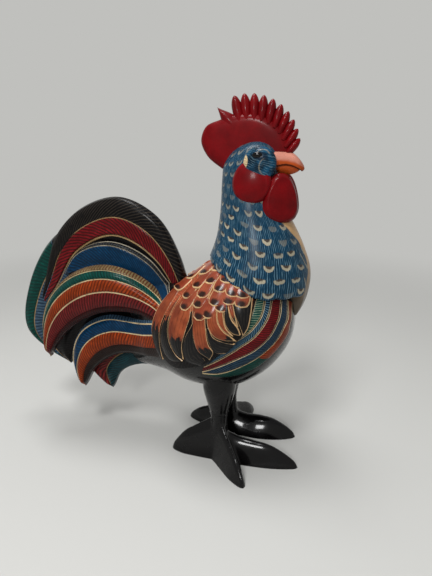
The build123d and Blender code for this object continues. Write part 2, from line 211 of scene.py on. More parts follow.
LOWER_OUTER = [(-36, 127), (-56, 123.5), (-80, 118.5), (-104, 119), (-132, 103), (-142, 74), (-132, 45)]
LOWER_INNER = [(-132, 45), (-119, 66), (-93, 83), (-71, 86), (-52, 90), (-36, 93)]
SICKLE_THICKNESS = 11
CENTRE_PLATE_THICKNESS = 9
FEATHER_THICKNESS = 6
PLUME_THICKNESS = 13
GLUE_GAP = 0.15
PLUME_SPLAY = 2.5
PLUME_SPLAY_X = -28
# Spacing of the incised barbs and height of the rib of each band
BARB_PITCH = 2.3
RIB_HEIGHT = 0.9
# Softness of the bend where a plume runs out over the flank
FLANK_BLEND = 6
# The roots of the plumes sink under the wing between these places
WING_REACH = (-66, -51)
# Cross-sections as (share across from the outer edge, share of the thickness)
ROUND_SECTION = [(0, 0), (0.03, 0.5), (0.1, 0.8), (0.22, 0.97), (0.4, 1), (0.75, 0.97), (0.94, 0.94),
                 (0.98, 0.6), (1, 0)]
PLATE_SECTION = [(0, 0), (0.02, 0.55), (0.08, 0.9), (0.25, 1), (0.6, 1), (0.92, 0.9), (0.98, 0.5), (1, 0)]
RIDGE_SECTION = [(0, 0), (0.02, 0.3), (0.12, 0.66), (0.25, 0.88), (0.42, 1), (0.6, 0.98), (0.8, 0.84),
                 (0.94, 0.62), (0.985, 0.4), (1, 0)]
# Depth and half width of the groove under each line between bands
LINE_GROOVE = 0.6
LINE_GROOVE_REACH = 0.9
# Share of the upper centre plume, from its root, that is painted black as shade where it shows in the gap
# between the sickle and the side feathers
CENTRE_PAINTED_SHADE_SHARE = 0.5
# Plumes clear the flank by this much, their thick parts stand off it, and their roots sink into it
PLUME_CLEARANCE = 0.4
PLUME_STAND_OFF = 2.2
PLUME_ROOT_DEPTH = 0.9
# Share of the length from which a plume thins out, and by how much
PLUME_TIP = 0.9
PLUME_TIP_THINNING = 0.6

# Carved strips on the flank: their edges are rounded down over this width
BLADE_EDGE_DROP = 0.5
BLADE_EDGE_WIDTH = 0.8

# Lines between the breast stripes, from under the hackle to where they meet below the wing
BREAST_LINES = [
    [(33, 48), (29.5, 70), (25, 80), (17, 90)],
    [(39.5, 48), (36.5, 72), (31, 81.5), (16, 92)],
    [(44.4, 48), (41, 75), (33.6, 88), (22, 96), (-6, 111)],
    [(51, 48), (49.5, 78), (43.5, 94), (34, 102), (21, 106.5), (2, 113), (-8, 117)],
    [(55.5, 44), (55, 85), (48.5, 104), (38, 111), (20, 117), (4, 120), (-8, 119)],
    [(58.8, 38), (58.8, 90), (55.5, 114), (44, 124), (26, 128), (8, 126), (-8, 121)],
]
# The outermost stripe changes its colour at this share of its length
BREAST_CHANGE = 0.6
# Spacing and slant of the barbs, width of the lines, then the stripes' height off the torso, crown and depth
BREAST_BARB = 2
BREAST_SLANT = 0.9
BREAST_LINE_WIDTH = 0.75
BREAST_LIFT = 0.15
BREAST_CROWN = 0.5
BREAST_DEPTH = 1.5

# Outline of the wing on the flank, as (x, degrees round from the back)
WING_OUTLINE = [(-29, 0), (-33, 14), (-41, 34), (-49.5, 57), (-53, 76), (-52, 90), (-47, 105), (-37, 115),
                (-21, 113), (-6, 108), (11, 97), (21, 90), (28, 82), (30.5, 70), (31.5, 54), (30, 34),
                (24, 12), (18, 0), (-6, -0.5)]
# The shell swells round its centre, dips into the flank at its rim and closes inside it
WING_CENTRE = (-8, 66)
WING_BASE_LIFT = 3.8
WING_RIM_START = 0.93
WING_RIM_DEPTH = 1
WING_INNER_DEPTH = 1.4
WING_STREAKS = 14
# Feathers on the shell start this far off the flank
WING_ROOT_LIFT = WING_BASE_LIFT - 1.2
# Below this turn round the flank the shell is terracotta, above it black
WING_SHELL_CHANGE = 60
# Spots of the small feathers by row, from the lowest row up
SCALLOP_ROWS = [
    [(-9, 66), (-2, 66), (8, 63)],
    [(-23, 53.5), (-11, 56), (2.7, 58), (13, 58), (23, 60)],
    [(-22.7, 43), (-8.5, 49), (5, 48), (15, 52), (23, 53)],
    [(-34, 29), (-15, 37.5), (-3.3, 39), (9, 41), (19, 45)],
    [(-24.6, 19), (-12, 25), (0, 28), (12, 31)],
]
SCALLOP_LENGTH = 15
SCALLOP_HALF_WIDTH = 5.9
SCALLOP_SPOT = 0.83
# Lean of the small feathers, as (places along the wing), (degrees)
SCALLOP_LEANS = ((-34, 20), (-50, -6))
# Height of each row over the one below it, of a tip over its root and of the crown
SCALLOP_ROW_RISE = 0.14
SCALLOP_TIP_RISE = 1.1
SCALLOP_CROWN = 0.8
SCALLOP_WIDTHS = [(0, 0.8), (0.4, 0.96), (0.65, 1), (0.84, 0.86), (0.95, 0.55), (1, 0)]
# The long feathers start on the shell, and each lies a little over the one before
LONG_FEATHER_LIFT = WING_BASE_LIFT - 0.2
LONG_FEATHER_RISE = 0.07
LONG_FEATHER_CROWN = 0.9
# Long feathers as (rear edge, front edge, share where the black starts)
LONG_FEATHERS = [
    ([(-15, 60), (-14, 69), (-20, 80), (-22, 90), (-20, 102), (-8, 107)],
     [(-13, 60), (-12, 70), (-11, 82), (-7, 94), (-3, 101)], -0.2),
    ([(-3, 76), (0, 88.6), (4.5, 96), (12.5, 97.5)], [(0, 76), (3.6, 83), (10.6, 87), (20, 90)], -0.2),
    ([(14, 52), (18, 67), (23, 78), (25, 83)], [(30.5, 50), (30.5, 68), (28.5, 80), (25.5, 85)], -0.2),
    ([(-31, 10), (-41, 34), (-50, 57), (-53.5, 76), (-52, 90), (-49, 100), (-44, 109)],
     [(-27, 20), (-34.5, 44), (-40, 59), (-44, 77), (-44, 90), (-43, 100), (-42, 108)], 0.6),
    ([(-30, 40), (-39, 58), (-43.5, 77), (-43, 92), (-36, 104), (-23, 102)],
     [(-28, 40), (-35, 60), (-36, 75), (-32.7, 88), (-27, 97), (-22, 101)], 0.3),
    ([(-27, 40), (-35, 60), (-36, 75), (-32.7, 88), (-27, 96), (-21, 100)],
     [(-16, 50), (-16.5, 66), (-19.5, 76), (-22, 86), (-21, 100)], 0.58),
    ([(-16, 52), (-14.5, 69), (-13, 81), (-9, 93), (0, 100.5)],
     [(-4, 60), (-2.2, 78), (0, 88.6), (3.6, 95.5), (1, 100.5)], 0.7),
    ([(-3, 62), (-1.1, 76), (3.6, 83), (10.6, 86.6), (21, 88)],
     [(5, 60), (6.8, 73), (11.3, 79.5), (16.6, 83.5), (21, 88)], 0.74),
    ([(4.5, 58), (7, 74), (11.6, 80), (18, 84)], [(10, 58), (10.6, 69), (13, 77), (18.5, 83.5)], 0.8),
    ([(10, 56), (12.8, 76.5), (17.6, 82), (23, 84)], [(12.5, 56), (16.8, 71), (22.3, 78.5), (24, 83)], 0.05),
    ([(12, 54), (14.5, 66), (21, 77)], [(15.5, 54), (19, 67), (22, 77)], 0.6),
]

# Stage in metres: floor profile as (radius, height), and where its even tone begins and is full
FLOOR_PROFILE = [(0, 0), (0.4, 0), (1.2, 0), (1.7, 0.12), (2.05, 0.5), (2.2, 1.1), (2.2, 2.2)]
FLOOR_ROUGHNESS = 0.75
EVEN_TONE = (0.3, 1)
# Square soft lights as (name, place, aim, size in metres, power)
LAMPS = [
    ("overhead", (-180, 80, 1150), (0, 0, 100), 0.36, 5.4),
    ("front_key", (-140, -540, 1050), (0, 0, 120), 0.24, 5.8),
    ("front_low", (-50, -840, 580), (0, 0, 150), 0.15, 2.8),
]
WORLD_STRENGTH = 0.45
# Camera: place in the carver's frame, turn to the left and downward tilt
CAMERA_PLACE = (76, -332, 252.3)
CAMERA_TURN = 14
CAMERA_TILT = 17
CAMERA_LENS = 26.25
CAMERA_SENSOR = 36

# Finish: shine of the paint under its lacquer, and how much brighter the finest scratches are
UNDERCOAT_SHINE = 0.05
HAIR_LINE_GAIN = (1.9, 1.9, 1.9, 1)
# Mark of a point that is far from any painted line
FAR_OFF = 9


# Colours

def tint(code):
    """Linear colour of a six-digit sRGB code."""
    parts = [int(code[i:i + 2], 16) / 255 for i in (0, 2, 4)]
    linear = [c / 12.92 if c <= 0.04045 else ((c + 0.055) / 1.055) ** 2.4 for c in parts]
    return (*linear, 1.0)


CRIMSON = tint("72070d")
DEEP_CRIMSON = tint("5e060b")
HACKLE_BLUE = tint("0d4765")
HACKLE_DEEP = tint("051f30")
HACKLE_LINE = tint("7394a2")
BLUE = tint("042b47")
NAVY = tint("041e33")
NAVY_STRIPE = tint("061f30")
GREY_BLUE = tint("34495a")
PALE_BLUE = tint("5b8094")
GREEN = tint("04362f")
DEEP_GREEN = tint("032a26")
PALE_GREEN = tint("7f8f78")
TEAL = tint("10343a")
ORANGE = tint("7c2e0e")
RUST = tint("521c08")
TERRACOTTA = tint("8f472e")
DEEP_TERRACOTTA = tint("823520")
FEATHER_BROWN = tint("914729")
FEATHER_DEEP = tint("702f1a")
BAND_RED = tint("5c0d11")
MAROON = tint("601818")
DARK_MAROON = tint("2c0808")
BLACK = tint("080708")
DEEP_BLACK = tint("050405")
PLUME_SHADE = tint("1f120e")
INK = tint("120d0b")
GREY_SCRATCH = tint("2d2721")
GREY_RIM = tint("262b2f")
RIM_LINE = tint("a89e8a")
CREAM = tint("d2bb92")
WING_LINE = tint("cda97c")
TAN = tint("9c805a")
OLIVE = tint("66583c")
CHEST = tint("c69f70")
# Grey-brown painted shade on the lower chest strip
CHEST_PAINTED_SHADE = tint("5f564b")
MOON = tint("aca38c")
MOON_HEART = tint("473c33")
BEAK_ORANGE = tint("b9501f")
# Pink painted highlight on top of the beak
BEAK_PAINTED_HIGHLIGHT = tint("d0907f")
BEAK_TIP = tint("8f3a10")
# Painted shade along the mouth line
MOUTH_PAINTED_SHADE = tint("3a1408")
WOOD = tint("c39a66")
WOOD_DARK = tint("8f6438")
FLOOR_TONE = tint("c4c4c1")
BACKDROP_TONE = tint("c0c0bd")

# Stripes and shell as (colour, colour of the barbs)
BREAST_COLOURS = [(GREEN, PALE_GREEN), (NAVY_STRIPE, PALE_BLUE), (BAND_RED, DARK_MAROON),
                  (NAVY_STRIPE, GREY_BLUE), (ORANGE, RUST), (GREEN, DEEP_GREEN)]
WING_SHELL_COLOURS = [(BLACK, INK), (TERRACOTTA, TERRACOTTA)]
# Bands of the plumes as (share across where the band ends, slant of its barbs, colour, colour of the barbs)
SICKLE_BANDS = [(0.49, -1.2, BLACK, GREY_SCRATCH), (0.92, 1.8, BAND_RED, DARK_MAROON), (1, 0, TAN, TAN)]
CENTRE_UPPER_BANDS = [(0.21, 0.5, GREEN, DEEP_GREEN), (0.46, 0.5, GREY_BLUE, NAVY), (1, 0.5, BLACK, INK)]
CENTRE_LOWER_BANDS = [(0.58, 0.8, MAROON, DARK_MAROON), (1, 0.8, TEAL, INK)]
# The side feathers' last dark band, along their inner edge, is painted shade of the gap there
FEATHER_BANDS = [(0.012, 0, GREY_RIM, GREY_RIM), (0.1, 0, GREY_RIM, INK), (0.84, 0.8, BLUE, NAVY),
                 (1, 0, INK, INK)]
# The upper plumes' last dark maroon band is painted shade on their underside
UPPER_BANDS = [(0.075, 0, OLIVE, RUST), (0.24, 0.3, GREEN, DEEP_GREEN), (0.5, -0.7, ORANGE, RUST),
               (0.84, -0.6, MAROON, DARK_MAROON), (1, -0.6, DARK_MAROON, INK)]
# The lower plumes' last band is painted shade on their underside
LOWER_BANDS = [(0.08, 0, GREY_BLUE, NAVY), (0.35, 0.6, BLUE, NAVY), (0.7, -0.7, ORANGE, RUST),
               (1, 0, PLUME_SHADE, INK)]


# Smooth lines

def hermite(at, table, where):
    """Smooth line through the rows of a table, which lie at the given places."""
    slope = np.gradient(table, at, axis=0)
    i = np.clip(np.searchsorted(at, where, side="right") - 1, 0, len(at) - 2)
    gap = (at[i + 1] - at[i])[:, None]
    t = (where - at[i])[:, None] / gap
    ease = t * t * (3 - 2 * t)
    lead = t * (1 - t) ** 2 * gap
    trail = t * t * (t - 1) * gap
    return table[i] * (1 - ease) + table[i + 1] * ease + slope[i] * lead + slope[i + 1] * trail


def running_length(table):
    """Distance along a row of points, from the first."""
    return np.concatenate(([0.0], np.cumsum(np.linalg.norm(np.diff(table, axis=0), axis=1))))


def evenly(fine, count):
    """Points evenly spaced along a finely drawn line."""
    run = running_length(fine)
    even = np.linspace(0, run[-1], count)
    return np.stack([np.interp(even, run, column) for column in fine.T], axis=1)


def curve(points, count):
    """Points evenly spaced along a smooth line through a few points."""
    table = np.array(points, float)
    at = running_length(table)
    return evenly(hermite(at, table, np.linspace(0, at[-1], 30 * len(points))), count)


def loop(points, count):
    """Points evenly spaced round a smooth closed line; the first point isn't repeated."""
    turns = np.array(points * 3, float)
    at = running_length(turns)
    once = np.linspace(at[len(points)], at[2 * len(points)], 30 * len(points))
    return evenly(hermite(at, turns, once), count + 1)[:-1]


def along(pairs, where):
    """Smooth value through a few (place, value) pairs."""
    table = np.array(pairs, float)
    flat = np.clip(np.ravel(where), table[0, 0], table[-1, 0])
    return hermite(table[:, 0], table[:, 1:], flat)[:, 0].reshape(np.shape(where))


def smooth_rows(rows, count, round_start=False, round_end=False):
    """Loft stations filled in smoothly; a rounded end closes at right angles to the axis."""
    table = np.array(rows, float)
    across = np.array((1.0, 1.0, -1.0, -1.0))
    if round_start:
        table = np.vstack((table[1] * across, table))
    if round_end:
        table = np.vstack((table, table[-2] * across))
    at = running_length(table)
    first = at[1] if round_start else at[0]
    last = at[-2] if round_end else at[-1]
    return hermite(at, table, np.linspace(first, last, count))


def ease(value, low, high):
    """Smooth step from 0 at low to 1 at high."""
    t = np.clip((value - low) / (high - low), 0, 1)
    return t * t * (3 - 2 * t)


# Meshes

class Shape:
    """Tubes of points, in millimetres, that become one mesh with two pairs of pattern marks."""

    def __init__(self):
        self.points = []
        self.faces = []
        self.marks = []
        self.size = 0

    def tube(self, points, marks=None, close_start=False, close_end=False):
        """Adds a tube, each row of points a ring; a closed end runs to the middle of its ring.

        Marks may have one column more than the points, for the far side of the seam.
        """
        if marks is None:
            marks = np.zeros((*points.shape[:2], 4))
        if marks.shape[1] == points.shape[1]:
            marks = np.concatenate((marks, marks[:, :1]), axis=1)
        if close_start:
            points = np.concatenate((shrunk(points[:1]), points))
            marks = np.concatenate((marks[:1], marks))
        if close_end:
            points = np.concatenate((points, shrunk(points[-1:])))
            marks = np.concatenate((marks, marks[-1:]))
        rows, columns = points.shape[:2]
        index = self.size + np.arange(rows * columns).reshape(rows, columns)
        index = np.concatenate((index, index[:, :1]), axis=1)
        self.points.append(points.reshape(-1, 3))
        self.faces.append(corners(index).reshape(-1, 4))
        self.marks.append(corners(marks).reshape(-1, 4))
        self.size += rows * columns
        return self

    def mirrored(self):
        """The same shape on the other side of the bird."""
        other = Shape()
        other.points = [points * (1.0, -1.0, 1.0) for points in self.points]
        other.faces = [faces[:, ::-1] for faces in self.faces]
        other.marks = [marks.reshape(-1, 4, 4)[:, ::-1].reshape(-1, 4) for marks in self.marks]
        return other

    def mesh(self, name):
        """The finished mesh, closed at its poles and turned outside out."""
        mesh = bpy.data.meshes.new(name)
        points = np.concatenate(self.points) * MM + SHIFT
        mesh.from_pydata(points.tolist(), [], np.concatenate(self.faces).tolist())
        marks = np.concatenate(self.marks).astype(np.float32)
        for layer, columns in (("pattern", slice(0, 2)), ("detail", slice(2, 4))):
            mesh.uv_layers.new(name=layer).data.foreach_set("uv", marks[:, columns].ravel())
        clean(mesh)
        return mesh


def shrunk(ring):
    """A ring with all its points at its middle."""
    return np.repeat(ring.mean(axis=1, keepdims=True), ring.shape[1], axis=1)


def corners(grid):
    """The four corners of each cell of a grid."""
    return np.stack((grid[:-1, :-1], grid[1:, :-1], grid[1:, 1:], grid[:-1, 1:]), axis=2)


def clean(mesh):
    """Joins coinciding points, drops faces without area and shades the rest smoothly."""
    work = bmesh.new()
    work.from_mesh(mesh)
    bmesh.ops.remove_doubles(work, verts=work.verts, dist=0.002 * MM)
    bmesh.ops.dissolve_degenerate(work, edges=work.edges, dist=0.001 * MM)
    bmesh.ops.recalc_face_normals(work, faces=work.faces)
    for face in work.faces:
        face.smooth = True
    work.to_mesh(mesh)
    work.free()


def place_mesh(name, mesh, material, slot, *nodes):
    """Puts a mesh into the scene as a piece that stands for its nodes."""
    piece = bpy.data.objects.new(name, mesh)
    bpy.context.collection.objects.link(piece)
    mesh.materials.append(material)
    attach(piece, "root")
    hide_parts(*nodes)


def place(name, shape, material, slot, *nodes):
    """Puts a shape into the scene."""
    place_mesh(name, shape.mesh(name), material, slot, *nodes)


def place_pair(name, shape, material, slot, node):
    """Puts a right-hand shape and its mirror image into the scene."""
    place(name + "_right", shape, material, slot, node + "_right")
    place(name + "_left", shape.mirrored(), material, slot, node + "_left")


# Materials

class Signal:
    """A number or colour that varies over a painted surface; numbers are worked with as usual."""

    def __init__(self, paint, socket):
        self.paint = paint
        self.socket = socket

    def math(self, operation, *others):
        return self.paint.node("ShaderNodeMath", dict(enumerate((self, *others))), operation=operation)

    def __add__(self, other):
        return self.math("ADD", other)

    def __sub__(self, other):
        return self.math("SUBTRACT", other)

    def __mul__(self, other):
        return self.math("MULTIPLY", other)

    def __truediv__(self, other):
        return self.math("DIVIDE", other)

    def floor(self):
        return self.math("FLOOR")

    def fract(self):
        return self.math("FRACT")

    def max(self, other):
        return self.math("MAXIMUM", other)

    def step(self, low, high, start=0.0, end=1.0):
        """Smooth step from start at low to end at high."""
        values = dict(enumerate((self, low, high, start, end)))
        return self.paint.node("ShaderNodeMapRange", values, interpolation_type="SMOOTHSTEP")

    def fade(self, low, high, start=1.0):
        """Smooth step from start at low to 0 at high."""
        return self.step(low, high, start, 0.0)

    def lines(self, width):
        """Thin lines at each whole number; width is a share of the spacing."""
        off = ((self + 0.5).fract() - 0.5).math("ABSOLUTE")
        return off.fade(width * 0.4, width)

    def broken(self, scale=260.0, low=0.35, high=0.6):
        """A mask worn away in places."""
        return self * self.paint.noise(scale).step(low, high, 0.15, 1.0)


class Paint:
    """A lacquer finish under construction."""

    def __init__(self, name, roughness, coat, coat_roughness, coat_ior=1.21):
        self.material = bpy.data.materials.new(name)
        self.material.use_nodes = True
        self.nodes = self.material.node_tree.nodes
        self.links = self.material.node_tree.links
        self.shader = self.nodes["Principled BSDF"]
        self.roughness = roughness
        self.shader.inputs["Specular IOR Level"].default_value = UNDERCOAT_SHINE
        self.shader.inputs["Coat IOR"].default_value = coat_ior
        self.shader.inputs["Coat Weight"].default_value = coat
        self.shader.inputs["Coat Roughness"].default_value = coat_roughness
        self.place = self.node("ShaderNodeTexCoord", {}, "Object")

    def feed(self, socket, value):
        """Links a signal to a socket, or sets a plain number or colour."""
        if isinstance(value, Signal):
            self.links.new(value.socket, socket)
        else:
            socket.default_value = value

    def node(self, kind, inputs, output=0, **settings):
        """One output of a new node with the given settings and inputs."""
        node = self.nodes.new(kind)
        for setting, value in settings.items():
            setattr(node, setting, value)
        for socket, value in inputs.items():
            self.feed(node.inputs[socket], value)
        return Signal(self, node.outputs[output])

    def mix(self, factor, a, b, blend="MIX"):
        """Two colours mixed; 6, 7 and 2 are the mix node's sockets for colours."""
        return self.node("ShaderNodeMix", {0: factor, 6: a, 7: b}, 2, data_type="RGBA", blend_type=blend)

    def marks(self, layer):
        """The two marks of a mesh layer."""
        uv = self.node("ShaderNodeUVMap", {}, uv_map=layer)
        return [self.node("ShaderNodeSeparateXYZ", {0: uv}, axis) for axis in (0, 1)]

    def vector(self, x, y, z=0.0):
        return self.node("ShaderNodeCombineXYZ", {0: x, 1: y, 2: z})

    def noise(self, scale, detail=2.0, at=None):
        """Cloudy noise from 0 to 1; scale counts per metre, or per unit of the given marks."""
        return self.node("ShaderNodeTexNoise", {"Vector": at or self.place, "Scale": scale, "Detail": detail})

    def shake(self, scale, amount):
        """Cloudy noise to both sides of 0."""
        return (self.noise(scale) - 0.5) * amount

    def chance(self, column, row):
        """A steady random number from 0 to 1 for each cell."""
        cell = self.vector(column, row)
        return self.node("ShaderNodeTexWhiteNoise", {"Vector": cell}, noise_dimensions="2D")

    def choose(self, value, colours):
        """The colour of the band that a value from 0 to the number of colours lies in."""
        node = self.nodes.new("ShaderNodeValToRGB")
        ramp = node.color_ramp
        ramp.interpolation = "CONSTANT"
        while len(ramp.elements) < len(colours):
            ramp.elements.new(1.0)
        for i, colour in enumerate(colours):
            ramp.elements[i].position = i / len(colours)
            ramp.elements[i].color = colour
        self.feed(node.inputs[0], value / float(len(colours)))
        return Signal(self, node.outputs[0])

    def finish(self, colour, height=0.0, depth=0.3):
        """Connects the colour and the relief (depth in millimetres), with uneven tone and gloss."""
        tone = self.noise(70.0, 4.0).step(0.3, 0.7, 0.8, 1.08)
        mottled = self.mix(1.0, colour, self.vector(tone, tone, tone), "MULTIPLY")
        self.feed(self.shader.inputs["Base Color"], mottled)
        gloss = self.noise(150.0, 3.0).step(0.25, 0.75, self.roughness - 0.07, self.roughness + 0.09)
        self.feed(self.shader.inputs["Roughness"], gloss)
        skin = self.noise(420.0, 3.0) * 0.12
        relief = self.node("ShaderNodeBump", {"Distance": depth * MM, "Height": skin + height})
        self.feed(self.shader.inputs["Normal"], relief)
        return self.material


def oval(x, y, wide, high):
    """Distance from the middle of an oval, 1 at its edge."""
    return ((x / wide).math("POWER", 2.0) + (y / high).math("POWER", 2.0)).math("SQRT")


def plain_lacquer(name, colour, dark, roughness, coat, coat_roughness, coat_ior):
    """One colour of lacquer, deeper in places."""
    paint = Paint(name, roughness, coat, coat_roughness, coat_ior)
    return paint.finish(paint.mix(paint.noise(55.0, 3.0).step(0.35, 0.7), colour, dark), depth=0.12)


def banded_paint(name, bands, line_colour, line_width=0.6):
    """Painted bands with incised barbs, parted by pale lines.

    A band ends with its colour and the colour of its barbs. Marks: pattern is (barb number, band
    number), detail is (distance to a line, unused).
    """
    paint = Paint(name, 0.34, 0.8, 0.17, 1.18)
    barb, band = paint.marks("pattern")
    off_line = paint.marks("detail")[0]
    base = paint.choose(band, [row[-2] for row in bands])
    scratch = paint.choose(band, [row[-1] for row in bands])
    phase = barb + paint.shake(120.0, 0.8)
    cut = phase.lines(0.21).broken(230.0, 0.2, 0.45)
    hair = (phase + 0.5).lines(0.16).broken(260.0, 0.45, 0.6)
    scratched = paint.mix(hair, paint.mix(cut, base, scratch), HAIR_LINE_GAIN, "MULTIPLY")
    edge = off_line + paint.shake(700.0, 0.4)
    line = edge.fade(0.75 * line_width, 1.2 * line_width).broken(420.0, 0.25, 0.42)
    return paint.finish(paint.mix(line, scratched, line_colour), cut * -0.6 - line * 0.5)


def hackle_paint():
    """Blue hackle: upright incised lines, staggered pale half-moons and a pale chest strip that turns to
    painted shade toward its bottom.

    Marks: pattern is (column, row) of the half-moons, detail is (share of the strip, height).
    """
    paint = Paint("hackle_blue", 0.4, 0.9, 0.27)
    column, row = paint.marks("pattern")
    strip, level = paint.marks("detail")
    row_number = row.floor()
    shifted = column + row_number.math("FLOORED_MODULO", 2.0) * 0.5
    luck = paint.chance(shifted.floor(), row_number)
    across = shifted.fract() - (luck * 0.2 + 0.4)
    up = row.fract() - (luck * 0.22 + 0.42)
    ragged = oval(across, up - 0.06, 0.31, 0.4) + paint.shake(400.0, 0.4)
    moon = ragged.fade(0.88, 1.05) * up.fade(0.06, 0.13)
    heart = (ragged - up).fade(0.4, 0.7) * luck.step(0.2, 0.4)
    faint_on_head = level.step(200.0, 240.0, 1.0, 0.5)
    shown = moon * faint_on_head * luck.step(0.1, 0.75, 0.2, 0.92)

    line_place = column * 8.0 + paint.shake(80.0, 1.6)
    grain = paint.noise(1.0, 3.0, paint.vector(column * 16.0, row * 1.3))
    cut = line_place.lines(0.26) * grain.step(0.42, 0.6)
    deep = (line_place + 0.5).lines(0.34)
    blue = paint.mix(deep * 0.75, HACKLE_BLUE, HACKLE_DEEP)
    blue = paint.mix(grain.step(0.35, 0.65, 0.5, 0.0), blue, HACKLE_DEEP)
    blue = paint.mix(cut * 0.55, blue, HACKLE_LINE)
    marked = paint.mix(shown, blue, paint.mix(heart, MOON, MOON_HEART))
    in_strip = strip + paint.noise(120.0) * 0.15
    relief = (cut * -0.6 - shown * 0.8) * in_strip.step(1.0, 1.12)
    # The chest strip darkens toward its bottom: painted shade
    chest = paint.mix(level.step(142.0, 190.0), CHEST_PAINTED_SHADE, CHEST)
    return paint.finish(paint.mix(in_strip.fade(1.0, 1.12), marked, chest), relief)


def scallop_paint():
    """Small wing feathers: terracotta with a pale rim and a black spot near the tip.

    Marks: pattern is (share of the length, share across), detail is (distance to the rim, unused).
    """
    paint = Paint("wing_scallops", 0.34, 1.0, 0.18, 1.3)
    share, across = paint.marks("pattern")
    rim = paint.marks("detail")[0]
    streak = (across * 3.0 + paint.noise(200.0)).lines(0.3).broken()
    base = paint.mix(paint.noise(120.0).step(0.3, 0.7), TERRACOTTA, DEEP_TERRACOTTA)
    base = paint.mix(streak * 0.3, base, RUST)
    reach = oval(share - SCALLOP_SPOT, across, 0.18, 0.8)
    spot = (reach + paint.shake(500.0, 0.7)).fade(0.5, 1.15, 0.94)
    line = (rim + paint.shake(800.0, 0.4)).fade(0.65, 1.0)
    return paint.finish(paint.mix(line, paint.mix(spot, base, INK), WING_LINE), spot * -0.6)


def long_feather_paint():
    """Long wing feathers: terracotta turning to ragged black, with a pale rim.

    Marks: pattern is (share of the length, share across), detail is (distance to the rim, black start).
    """
    paint = Paint("wing_feathers", 0.34, 1.0, 0.18, 1.27)
    share, across = paint.marks("pattern")
    rim, black_start = paint.marks("detail")
    past = share - black_start + across.math("PINGPONG", 0.4) * 0.25
    dipped = (past + paint.shake(300.0, 0.2)).step(0.05, 0.1)
    streak = (across * 2.6 + paint.noise(90.0)).lines(0.24).broken()
    warm = paint.mix(paint.noise(90.0).step(0.3, 0.7), FEATHER_BROWN, FEATHER_DEEP)
    warm = paint.mix(streak * 0.45, warm, RUST)
    dark = paint.mix(streak * 0.5, BLACK, GREY_SCRATCH)
    line = (rim + paint.shake(800.0, 0.4)).fade(0.5, 0.85).broken(300.0, 0.15, 0.4)
    return paint.finish(paint.mix(line, paint.mix(dipped, warm, dark), WING_LINE), streak * -0.5)


def face_paint():
    """Blue cheek with incised strokes, a dark eye corner and a pale crescent at its rear rim.

    Marks: pattern is (share forward, share up) on the disc.
    """
    paint = Paint("cheek_blue", 0.34, 0.6, 0.12)
    forward, up = paint.marks("pattern")

    def near(x, z, wide, high):
        """Distance from a spot on the disc, 1 at the edge of its oval."""
        return oval(forward - x, up - z, wide, high)

    strokes = up * 7.0 + forward * 2.6 + paint.noise(120.0) * 3.0
    cut = strokes.lines(0.28).broken(300.0, 0.42, 0.6)
    blue = paint.mix(paint.noise(180.0).step(0.35, 0.65), HACKLE_DEEP, HACKLE_BLUE)
    blue = paint.mix(cut * 0.36, blue, HACKLE_LINE)
    eye_corner = near(0.12, 0.42, 0.42, 0.26).fade(0.7, 1.1)
    blue = paint.mix(eye_corner * 0.85, blue, NAVY)
    fold = near(0.42, -0.18, 0.42, 0.5)
    crease = fold.step(0.86, 0.94) * fold.fade(1.0, 1.1) * forward.fade(0.1, 0.4)
    brow = near(0.2, 0.32, 0.46, 0.5)
    brow_line = brow.step(0.86, 0.92) * brow.fade(1.0, 1.08) * up.step(0.5, 0.6)
    crescent = near(-0.86, 0.14, 0.19, 0.4).fade(0.75, 1.05)
    pale = crescent.max(crease.max(brow_line) * 0.24)
    return paint.finish(paint.mix(pale, blue, CREAM), cut * -0.7)


def beak_paint():
    """Orange beak with a pink painted highlight on top and painted shade along the mouth.

    Marks: pattern is (share of the length, share of the height), detail is (distance to the mouth, unused).
    """
    paint = Paint("beak_orange", 0.3, 0.7, 0.08)
    share, height = paint.marks("pattern")
    mouth = paint.marks("detail")[0]
    # The upper part of the beak is painted pink as a highlight
    top = (height + paint.noise(140.0) * 0.2).step(0.15, 0.5)
    warm = paint.mix(top * 0.85, BEAK_ORANGE, BEAK_PAINTED_HIGHLIGHT)
    tip = paint.mix(share.step(0.8, 0.95, 0.0, 0.5), warm, BEAK_TIP)
    # Painted shade darkens the beak along the mouth line
    lip = (mouth + paint.noise(500.0) * 0.4).fade(0.5, 1.3, 0.85)
    return paint.finish(paint.mix(lip, tip, MOUTH_PAINTED_SHADE), depth=0.2)


def bare_wood():
    """Dowel wood with wandering grain lines."""
    paint = Paint("dowel_wood", 0.6, 0.0, 0.3)
    grain = (paint.noise(260.0, 6.0) * 9.0).lines(0.4)
    return paint.finish(paint.mix(grain * 0.6, WOOD, WOOD_DARK), grain * -0.4, 0.2)


# Torso

torso_table = smooth_rows(TORSO_STATIONS, 260, round_start=True)


def torso_at(x):
    """Middle height, half height and half width of the torso at places along it."""
    rising = torso_table[::-1]
    return [np.interp(x, rising[:, 0], column) for column in rising[:, 1:].T]


def flank(x, phi, lift):
    """Point on the right flank: x along it, phi in degrees round it from the back, lifted off it."""
    middle, half_height, half_width = torso_at(x)
    turn = np.radians(phi)
    y = -(half_width + lift) * np.sin(turn)
    z = middle + (half_height + lift) * np.cos(turn)
    return np.stack((x + 0 * turn, y, z), axis=-1)


def half_width_at(x, z):
    """Half width of the torso at a place in side view; 0 above and below it."""
    middle, half_height, half_width = torso_at(x)
    return half_width * np.sqrt(np.clip(1 - ((z - middle) / half_height) ** 2, 0, None))


